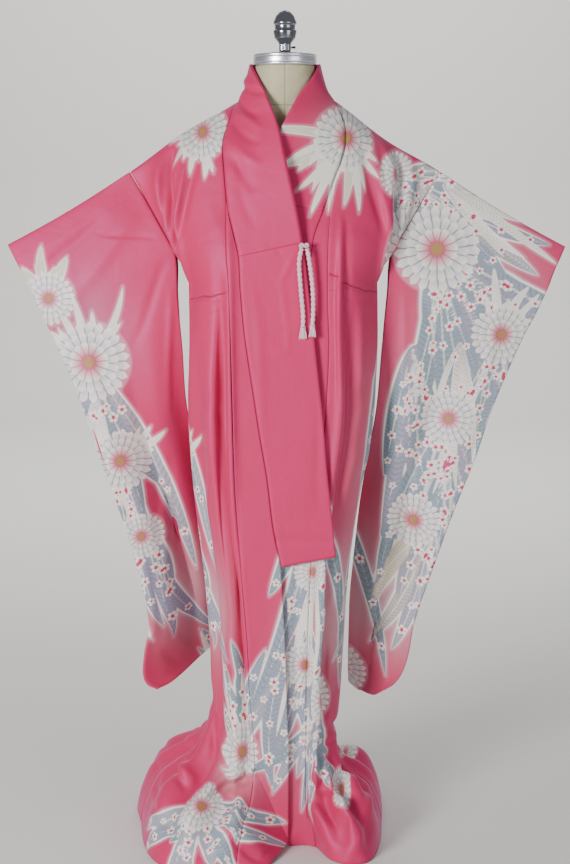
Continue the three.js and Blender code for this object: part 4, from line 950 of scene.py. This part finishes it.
# the painting, from the fields that each piece carries: washes and mist first, then long leaves,
# small flowers and chrysanthemums
def paintedOver(add, base):
    white, slate = linear(silkColours["white"]), linear(silkColours["slate"])
    wash = add("Attribute", attribute_name="wash")
    amounts = add("SeparateXYZ", {0: wash.outputs["Vector"]})
    for amount, key in zip(amounts.outputs, ("cream", "lilac", "deepPink")):
        base = add("Mix", {0: amount, 6: base, 7: linear(silkColours[key])}, data_type="RGBA")
    gap = add("Attribute", attribute_name="glow")
    mist = add("MapRange", {0: gap.outputs["Fac"], 1: 0.0, 2: 7.0, 3: 0.3, 4: 0.0},
               interpolation_type="SMOOTHSTEP")
    base = add("Mix", {0: mist, 6: base, 7: linear(silkColours["pale"])}, data_type="RGBA")

    # leaves: white on the midrib and the rim, fine dark barbs between, all inside the leaf's edge
    for layer in ("Low", "High"):
        leaf = add("Attribute", attribute_name="leaf" + layer)
        split = add("SeparateXYZ", {0: leaf.outputs["Vector"]})
        tint = add("Attribute", attribute_name="tint" + layer)
        barb = add("Math", {0: split.outputs[1]}, operation="SINE")
        barbed = add("MapRange", {0: barb, 1: 0.35, 2: 0.8, 3: 0.0, 4: 0.3})
        inked = add("Mix", {0: barbed, 6: tint.outputs["Color"], 7: slate}, data_type="RGBA")
        edge = add("ValToRGB", {"Fac": split.outputs[0]})
        ramp = edge.color_ramp
        for position in (0.04, 0.11, 0.74, 0.84):
            ramp.elements.new(position)
        for element, shown in zip(ramp.elements, (0.8, 0.7, 0.0, 0.0, 1.0, 1.0)):
            element.color = (shown, shown, shown, 1)
        rimmed = add("Mix", {0: edge, 6: inked, 7: white}, data_type="RGBA")
        inside = add("MapRange", {0: split.outputs[0], 1: 0.95, 2: 1.05, 3: 1.0, 4: 0.0})
        base = add("Mix", {0: inside, 6: base, 7: rimmed}, data_type="RGBA")

    # round motifs share one way of drawing petals: field, petals, root and tip radius, root colour,
    # turn, depth of the notches, and hearts drawn on top
    rows = [("spot", 5, 0.1, 1.0, "white", 0.0, 0.42, [(0.4, "rose"), (0.16, "ochre")]),
            ("bloom", 23, 0.5, 1.0, "lilac", 0.0, 0.2, []),
            ("bloom", 19, 0.3, 0.76, "blueGrey", 0.3, 0.2, []),
            ("bloom", 13, 0.14, 0.5, "rose", 0.1, 0.2, [(0.17, "ochre")])]
    fields = {}
    for name in ("spot", "bloom"):
        node = add("Attribute", attribute_name=name)
        away = add("SeparateXYZ", {0: node.outputs["Vector"]}).outputs[2]
        turned = add("TexGradient", {0: node.outputs["Vector"]}, gradient_type="RADIAL")
        fields[name] = (away, turned.outputs["Fac"])
    for name, petals, inner, outer, root, turn, lobe, hearts in rows:
        away, turned = fields[name]
        count = add("Math", {0: turned, 1: float(petals), 2: turn}, operation="MULTIPLY_ADD")
        wave = add("Math", {0: count, 1: 0.5}, operation="PINGPONG")
        arch = add("Math", {0: wave, 1: 0.45}, operation="POWER")
        reach = add("Math", {0: arch, 1: outer * lobe * 1.36, 2: outer * (1 - lobe)},
                    operation="MULTIPLY_ADD")
        short = add("Math", {0: reach, 1: away}, operation="SUBTRACT")
        inside = add("MapRange", {0: short, 1: -0.02, 2: 0.02, 3: 0.0, 4: 1.0})
        length = add("MapRange", {0: away, 1: inner, 2: outer * 0.95})
        tint = add("Mix", {0: length, 6: linear(silkColours[root]), 7: white}, data_type="RGBA")
        line = add("MapRange", {0: wave, 1: 0.03, 2: 0.11, 3: 0.75, 4: 0.0})
        drawn = add("Mix", {0: line, 6: tint, 7: slate}, data_type="RGBA")
        base = add("Mix", {0: inside, 6: base, 7: drawn}, data_type="RGBA")
        for size, key in hearts:
            heart = add("MapRange", {0: away, 1: size - 0.04, 2: size, 3: 1.0, 4: 0.0})
            base = add("Mix", {0: heart, 6: base, 7: linear(silkColours[key])}, data_type="RGBA")
    return base


paintedSilk = silkMaterial("hand-painted silk satin", True)
lining = silkMaterial("plain silk lining", False)


# cloth pieces: each is a grid of points on the middle of its cloth, moved out both ways to make a thin
# shell with the painted face outside, plain lining inside and a rim between them
def gridOf(across, downs):
    return np.broadcast_arrays(across[None, :], downs[:, None])


# directions square to a grid, turned so that at row and column they point to the front or back (sign)
def gridNormals(points, row, column, sign):
    normal = np.cross(np.gradient(points, axis=1), np.gradient(points, axis=0))
    length = np.linalg.norm(normal, axis=-1, keepdims=True)
    normal /= np.maximum(length, 1e-9)
    flat = length[..., 0] < 1e-6      # a row that has shrunk to a point takes its neighbour's direction
    for r in np.unique(np.nonzero(flat)[0]):
        normal[r] = normal[min(r + 1, len(normal) - 2)] if r < len(normal) / 2 else normal[r - 1]
    return normal if normal[row, column, 1] * sign > 0 else -normal


# length along the cloth from the first column, or from the first row
def arcLength(points, axis=1):
    steps = np.linalg.norm(np.diff(points, axis=axis), axis=-1)
    first = np.zeros_like(np.take(steps, [0], axis=axis))
    return np.concatenate([first, np.cumsum(steps, axis=axis)], axis=axis)


def creased(points, normals, names, strength=1.0):
    rows = [row for name in names for row in creases[name]]
    return along(points, normals, creaseHeight(points[..., 0], points[..., 2], rows) * strength)


# a front and a back face, each listed from the top down, joined on their shared top row
def foldedOver(front, back, downs):
    points = np.concatenate([front[:0:-1], (front[:1] + back[:1]) / 2, back[1:]])
    isBack = np.zeros(points.shape[:2], bool)
    isBack[len(downs) - 1:] = True
    return points, isBack, np.concatenate([downs[:0:-1], downs])


# the painted canvas's height: it runs on along the cloth where that leaves the column for the pool
def canvasHeight(points, levels):
    down = arcLength(points, 0)
    pooled = np.searchsorted(levels, 2)
    height = points[..., 2].copy()
    height[pooled:] = height[pooled] - (down[pooled:] - down[pooled])
    return height


# how far cloth dips where it is sewn, how wide that dip is, and its lowest point over the floor
shell = {"seamDip": 0.9, "seamWidth": 3.2, "lowest": 0.4}


def clothPiece(name, spec, points, normals, seam, canvas, isBack):
    rows, columns = points.shape[:2]
    middle = along(points, normals, -shell["seamDip"] * bump(seam, shell["seamWidth"]))
    half = spec.get("thickness", garment["cloth"]) / 2
    sides = np.stack([along(middle, normals, half), along(middle, normals, -half)])
    sides[..., 2] = np.maximum(sides[..., 2], shell["lowest"])
    index = np.arange(rows * columns).reshape(rows, columns)
    quads = np.stack([index[:-1, :-1], index[:-1, 1:], index[1:, 1:], index[1:, :-1]], -1).reshape(-1, 4)
    loop = np.concatenate([index[0, :-1], index[:-1, -1], index[-1, :0:-1], index[:0:-1, 0]])
    after = np.roll(loop, -1)
    count = rows * columns
    rim = np.stack([after, loop, loop + count, after + count], -1)
    faces = np.concatenate([quads, quads[:, ::-1] + count, rim])
    r, c = rows // 2, columns // 2
    corner = sides[0, r, c]
    if np.dot(np.cross(sides[0, r, c + 1] - corner, sides[0, r + 1, c] - corner), normals[r, c]) < 0:
        faces = faces[:, ::-1]
    ofMaterial = np.repeat([0, 1, 0], [len(quads), len(quads), len(rim)])
    piece = meshObject(name, sides.reshape(-1, 3), faces, [paintedSilk, lining], ofMaterial)
    fields = printFields(canvas[0].ravel(), canvas[1].ravel(), isBack.ravel())
    fields["seam"] = seam.ravel()
    fields["tuck"] = tuckDistance(middle[..., 0], middle[..., 2], isBack).ravel()
    for field, values in fields.items():
        giveAttribute(piece, field, np.concatenate([values, values]))
    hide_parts(*spec["replaces"])
    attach(piece, "root")
    print("%s: %d quads" % (name, len(faces)))


# bodies: from the front hem up over the shoulder and down to the back hem
bodySpec = {"columns": 66, "shoulderRows": 80, "columnRows": 190, "poolRows": 72, "seamInset": 0.0014,
            "ridgeFade": 0.06, "sideFade": 0.07, "cutWidth": 0.31, "cutLength": {"right": 3.25, "left": 3.1}}


def bodyLevels(start, shoulderRows, columnRows, poolRows):
    return np.concatenate([np.linspace(start, 1, shoulderRows, endpoint=False),
                           np.linspace(1, 2, columnRows, endpoint=False), np.linspace(2, 3, poolRows)])


def makeBody(name):
    side = bodySides[name]
    levels = bodyLevels(0, bodySpec["shoulderRows"], bodySpec["columnRows"], bodySpec["poolRows"])
    across = np.linspace(bodySpec["seamInset"], 1 - bodySpec["seamInset"], bodySpec["columns"])
    u, level = gridOf(across, levels)
    points, isBack, signed = foldedOver(*(foldedBody(side, face, u, level) for face in (-1, 1)), levels)
    normals = gridNormals(points, len(levels) // 2, len(across) // 2, -1)
    # no creases on the ridge or at the side seam, where front and back meet
    strength = ease(signed / bodySpec["ridgeFade"])[:, None] * ease((1 - across) / bodySpec["sideFade"])
    points = creased(points, normals, ["body front", "pool"], strength * ~isBack)
    points = creased(points, normals, ["body back", "back pool"], strength * isBack)
    arc = arcLength(points)
    top = len(levels) - 1
    inFront, behind = canvasHeight(points[top::-1], levels), canvasHeight(points[top:], levels)
    spec = {"flat": (bodySpec["cutWidth"], bodySpec["cutLength"][name]), "held": "draped",
            "restsOn": ["dress_form", "floor"], "replaces": ["body_" + name]}
    clothPiece("body-" + name, spec, points, normals, np.minimum(arc, arc[:, -1:] - arc),
               (points[:, :1, 0] + side["sign"] * arc, np.concatenate([inFront[:0:-1], behind])), isBack)


# narrow overlap panels, sewn to the front edge of each body; area is what shows of the cut, since the
# rest lies under the collar or is turned in
okumiSpec = {"flat": (0.15, 1.3), "area": 0.1, "held": "hung", "restsOn": ["floor"], "columns": 22,
             "rows": [24, 190, 90], "tipInset": 4, "edgeInset": 0.004}


def makeOkumi(name):
    side = bodySides[name]
    ridgeZ = look(collarRows, side["ridgeStation"], 3)
    start = (ridgeZ - side["okumiTop"] + okumiSpec["tipInset"]) / (ridgeZ - garment["underarm"])
    levels = bodyLevels(start, *okumiSpec["rows"])
    inset = okumiSpec["edgeInset"]
    u, level = gridOf(np.linspace(inset - 1, -inset, okumiSpec["columns"]), levels)
    points = foldedBody(side, -1, u, level)
    normals = gridNormals(points, len(levels) // 3, okumiSpec["columns"] // 2, -1)
    points = creased(points, normals, ["body front", "pool"])
    arc = arcLength(points)
    spec = {**okumiSpec, "replaces": ["okumi_" + name]}
    canvas = (points[..., 0], canvasHeight(points, levels))
    clothPiece("okumi-" + name, spec, points, normals, arc[:, -1:] - arc, canvas, np.zeros(u.shape, bool))


# sleeves: one width of cloth each, folded along the top, hanging front and back, sewn shut at the bottom
sleeveSpec = {"flat": (0.33, 2.04), "held": "hung", "columns": 74, "rows": 240, "closing": 0.02,
              "closed": 0.15, "endFade": 0.05, "edgeFade": 0.03, "sewnTo": 0.19, "openTo": 0.27,
              "unsewn": 999}


def makeSleeve(name):
    side = sleeveSides[name]
    t = np.linspace(0, 1, sleeveSpec["rows"])
    downs = mix(t, (1 - np.cos(np.pi * t)) / 2, 0.8)      # rows lie closer at the top and the bottom
    across = np.linspace(0, 1, sleeveSpec["columns"])
    u, down = gridOf(across, downs)
    middle = sleeveMiddle(side, u, down)
    shut = np.sqrt(np.clip((1 - down) / sleeveSpec["closing"], 0, 1))[..., None]
    half = garment["cloth"] / 2 + sleeveSpec["closed"]
    faces = [mix(middle + [0, face * half, 0], sleevePoint(side, face, u, down), shut) for face in (-1, 1)]
    points, isBack, signed = foldedOver(*faces, downs)
    normals = gridNormals(points, len(downs) // 2, len(across) // 2, -1)
    strength = (ease(signed / sleeveSpec["endFade"]) * ease((1 - signed) / sleeveSpec["endFade"]))[:, None]
    strength = strength * ease(across / sleeveSpec["edgeFade"]) * ease((1 - across) / sleeveSpec["edgeFade"])
    points = creased(points, normals, ["sleeves"], strength)
    arc = arcLength(points)
    inner = np.where(signed[:, None] < sleeveSpec["sewnTo"], arc, sleeveSpec["unsewn"])
    outer = np.where(signed[:, None] > sleeveSpec["openTo"], arc[:, -1:] - arc, sleeveSpec["unsewn"])
    spec = {**sleeveSpec, "restsOn": ["body_" + name],
            "replaces": ["sleeve_%s_front" % name, "sleeve_%s_back" % name]}
    clothPiece("sleeve-" + name, spec, points, normals, np.minimum(inner, outer),
               (points[..., 0], points[..., 2]), isBack)


# collar: one strip from the right front's hem edge round the back of the neck to the left's, and the
# over-collar on it, round the neck and down to the bust; from and to are stations along it, and inset is
# what each leaves free of the collar's width at the sewn edge, there round the neck, and at the outer edge
collars = {
    "collar-band": {"flat": (0.13, 2.25), "held": "draped", "replaces": ["collar"],
                    "restsOn": ["dress_form", "body_right", "body_left"],
                    "rows": 510, "from": 0, "to": 34, "middleRow": 270,
                    "inset": (0.5 / garment["collarWidth"], 1.9 / garment["collarWidth"], 0)},
    "over-collar": {"flat": (0.11, 1.02), "area": 0.105, "thickness": garment["overCloth"], "held": "draped",
                    "restsOn": ["collar"], "replaces": ["over_collar"], "rows": 280, "from": 7, "to": 27,
                    "middleRow": 154, "inset": (0.012, 0.062, 0.012),
                    "lift": {"flat": 1.85, "onNeck": 0.4, "turning": 0.9, "turnsAt": 4, "turnWidth": 1.6}}}
collarLook = {"columns": 25, "paintedFrom": 19.5, "paintedAbove": 1180, "farAway": 9000, "creasedTo": 15,
              "neckHalf": 5, "backFrom": 40}


def makeCollar(name, spec):
    stations = np.linspace(spec["from"], spec["to"], spec["rows"])
    u, station = gridOf(np.linspace(0, 1, collarLook["columns"]), stations)
    away = station - garment["middleStation"]
    onNeck = bump(away, collarLook["neckHalf"])
    sewn, sewnOnNeck, outer = spec["inset"]
    points = collarPoint(station, mix(mix(sewn, sewnOnNeck, onNeck), 1 - outer, u))
    normals = gridNormals(points, spec["middleRow"], collarLook["columns"] // 2, 1)
    raised = creaseHeight(points[..., 0], points[..., 2], creases["collars"])
    raised = raised * (station < collarLook["creasedTo"])
    lift = spec.get("lift")
    if lift:      # it lies on the collar, and stands off a little where that turns round the neck
        turning = bump(np.abs(away) - lift["turnsAt"], lift["turnWidth"])
        raised = raised + lift["flat"] + lift["onNeck"] * onNeck + lift["turning"] * turning
    points = along(points, normals, raised)
    # it is painted only where it lies on the left shoulder; elsewhere its canvas is far away
    z = points[..., 2]
    plain = (station < collarLook["paintedFrom"]) | (z < collarLook["paintedAbove"])
    clothPiece(name, spec, points, normals, arcLength(points),
               (points[..., 0], z + collarLook["farAway"] * plain), points[..., 1] > collarLook["backFrom"])


for sideName in ("right", "left"):
    makeBody(sideName)
    makeOkumi(sideName)
    makeSleeve(sideName)
for name, spec in collars.items():
    makeCollar(name, spec)
print("cloth made")

# dress form: a limbless torso with a closed top: z, half width, front and back depth
torsoRows = [
    [800, 142, 100, 92], [830, 152, 103, 97], [880, 158, 105, 101], [930, 158, 104, 101],
    [1010, 146, 98, 92], [1120, 122, 88, 80], [1200, 134, 93, 88], [1280, 150, 96, 94],
    [1349, 160, 81, 94], [1395, 169, 66, 84], [1425, 159, 52, 71], [1451, 121, 46, 61],
    [1475, 80, 46, 58], [1497, 62, 51, 57], [1520, 59, 56, 58], [1545.5, 58, 58, 58]]
formSpec = {"rows": 170, "sides": 120, "inset": 0.25, "middleDip": 0.7, "middleWidth": 1.4, "neckSeam": 1484,
            "neckSeamDip": 16, "neckDip": 0.8, "neckWidth": 1.6, "about": 60}


def makeForm(spec):
    heights = np.linspace(torsoRows[0][0], torsoRows[-1][0], spec["rows"])
    angle, z = gridOf(np.linspace(0, 2 * np.pi, spec["sides"], endpoint=False), heights)
    half, front, back = (look(torsoRows, z, column) for column in (1, 2, 3))
    # the linen dips at its sewn seams: down the middle, and round the foot of the neck, lower in front
    neckSeam = spec["neckSeam"] + spec["neckSeamDip"] * np.sin(angle)
    dip = spec["middleDip"] * bump(np.abs(np.cos(angle)) * half, spec["middleWidth"])
    dip += spec["neckDip"] * bump(z - neckSeam, spec["neckWidth"])
    inward = 1 - (spec["inset"] + dip) / spec["about"]
    x = half * np.cos(angle) * inward
    y = np.where(np.sin(angle) < 0, front, back) * np.sin(angle) * inward
    ends = [[0, 0, heights[0]], [0, 0, heights[-1]]]
    points = np.concatenate([np.stack([x, y, z], -1).reshape(-1, 3), ends])
    return meshObject("dress-form", points, list(ringFaces(len(heights), spec["sides"])), [linen])


# turned pieces: radius and height down each profile, and how far its corners are rounded
turnedPieces = {
    "pole": {"node": "pole", "slot": "steel", "metal": steel, "sides": 64, "reach": 1.0,
             "profile": [[0.5, 20.4], [16, 20.4], [16, 799.6], [0.5, 799.6]]},
    "foot": {"node": "base", "slot": "iron", "metal": enamel, "sides": 128, "reach": 2.5,
             "profile": [[0.5, 0], [113, 0], [113, 8], [101.7, 15], [32, 20], [0.5, 20]]},
    "neck-ring": {"node": "neck_ring", "slot": "polished_aluminium", "metal": aluminium, "sides": 160,
                  "reach": 1.6,
                  "profile": [[20, 1546.1], [60, 1546.1], [62, 1548], [62, 1550.5], [61.3, 1551.3],
                              [61.3, 1552.2], [62, 1553], [62, 1562], [61.3, 1562.8], [61.3, 1563.6],
                              [62, 1564.4], [62, 1567], [60, 1569], [20, 1569]]},
    "finial": {"node": "finial", "slot": "dark_metal", "metal": darkMetal, "sides": 96, "reach": 1.4,
               "lift": 1569.35, "flutes": {"count": 16, "depth": 0.8, "from": 5.5, "to": 19.5, "rings": 12,
                                           "radius": 11.5, "about": 12},
               "profile": [[0.5, 0], [15, 0], [15, 3], [11.5, 5], [11.5, 20], [13, 22], [20, 30], [22.8, 42],
                           [22.8, 45], [20, 47], [20, 55], [22.8, 58], [22.8, 61], [20.7, 66], [18, 73],
                           [12, 80], [5, 84], [0.5, 85]]}}


def makeTurned(name, spec):
    lift, flutes = spec.get("lift", 0), spec.get("flutes")
    profile = np.array(spec["profile"], float) + [0, lift]
    if flutes:      # more rings along the fluted stem
        heights = np.linspace(lift + flutes["from"] + 0.5, lift + flutes["to"] - 0.5, flutes["rings"])
        stem = np.stack([np.full(len(heights), flutes["radius"]), heights], -1)
        profile = np.vstack([profile[:4], stem, profile[5:]])
    points, quads, ends = turnedMesh(softened(profile, spec["reach"]), spec["sides"])
    if flutes:
        height = points[:, 2] - lift
        onStem = ease((height - flutes["from"]) / 1.5) * ease((flutes["to"] - height) / 1.5)
        angle = np.arctan2(points[:, 1], points[:, 0])
        groove = flutes["depth"] * (0.5 - 0.5 * np.cos(flutes["count"] * angle)) * onStem
        points[:, :2] *= (1 - groove / flutes["about"])[:, None]
    return meshObject(name, points, [quads, ends], [spec["metal"]])


# thumb screw: a short knurled head on the stem's side; reach along it is from the stem's middle
screwSpec = {"profile": [[0.3, 11.9], [1.5, 11.9], [1.5, 14], [2.2, 14.2], [2.2, 20.4], [1.8, 20.8],
                         [0.3, 20.8]],
             "reach": 0.15, "sides": 48, "knurls": 16, "knurl": 0.03, "knurledFrom": 14.1, "height": 1582.35}


def makeScrew(spec):
    points, quads, ends = turnedMesh(softened(spec["profile"], spec["reach"]), spec["sides"])
    x, y, z = points.T
    knurl = 1 + spec["knurl"] * np.cos(spec["knurls"] * np.arctan2(y, x)) * (z > spec["knurledFrom"])
    turned = np.stack([z, y * knurl, -x * knurl + spec["height"]], -1)
    return meshObject("thumb-screw", turned, [quads, ends], [screwSteel])


hardware = [(makeForm(formSpec), "dress_form", "linen"), (makeScrew(screwSpec), "thumb_screw", "dark_metal")]
hardware += [(makeTurned(name, spec), spec["node"], spec["slot"]) for name, spec in turnedPieces.items()]
for thing, node, slotName in hardware:
    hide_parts(node)
    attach(thing, "root")
print("dress form and its fittings made")

bpy.context.view_layer.update()
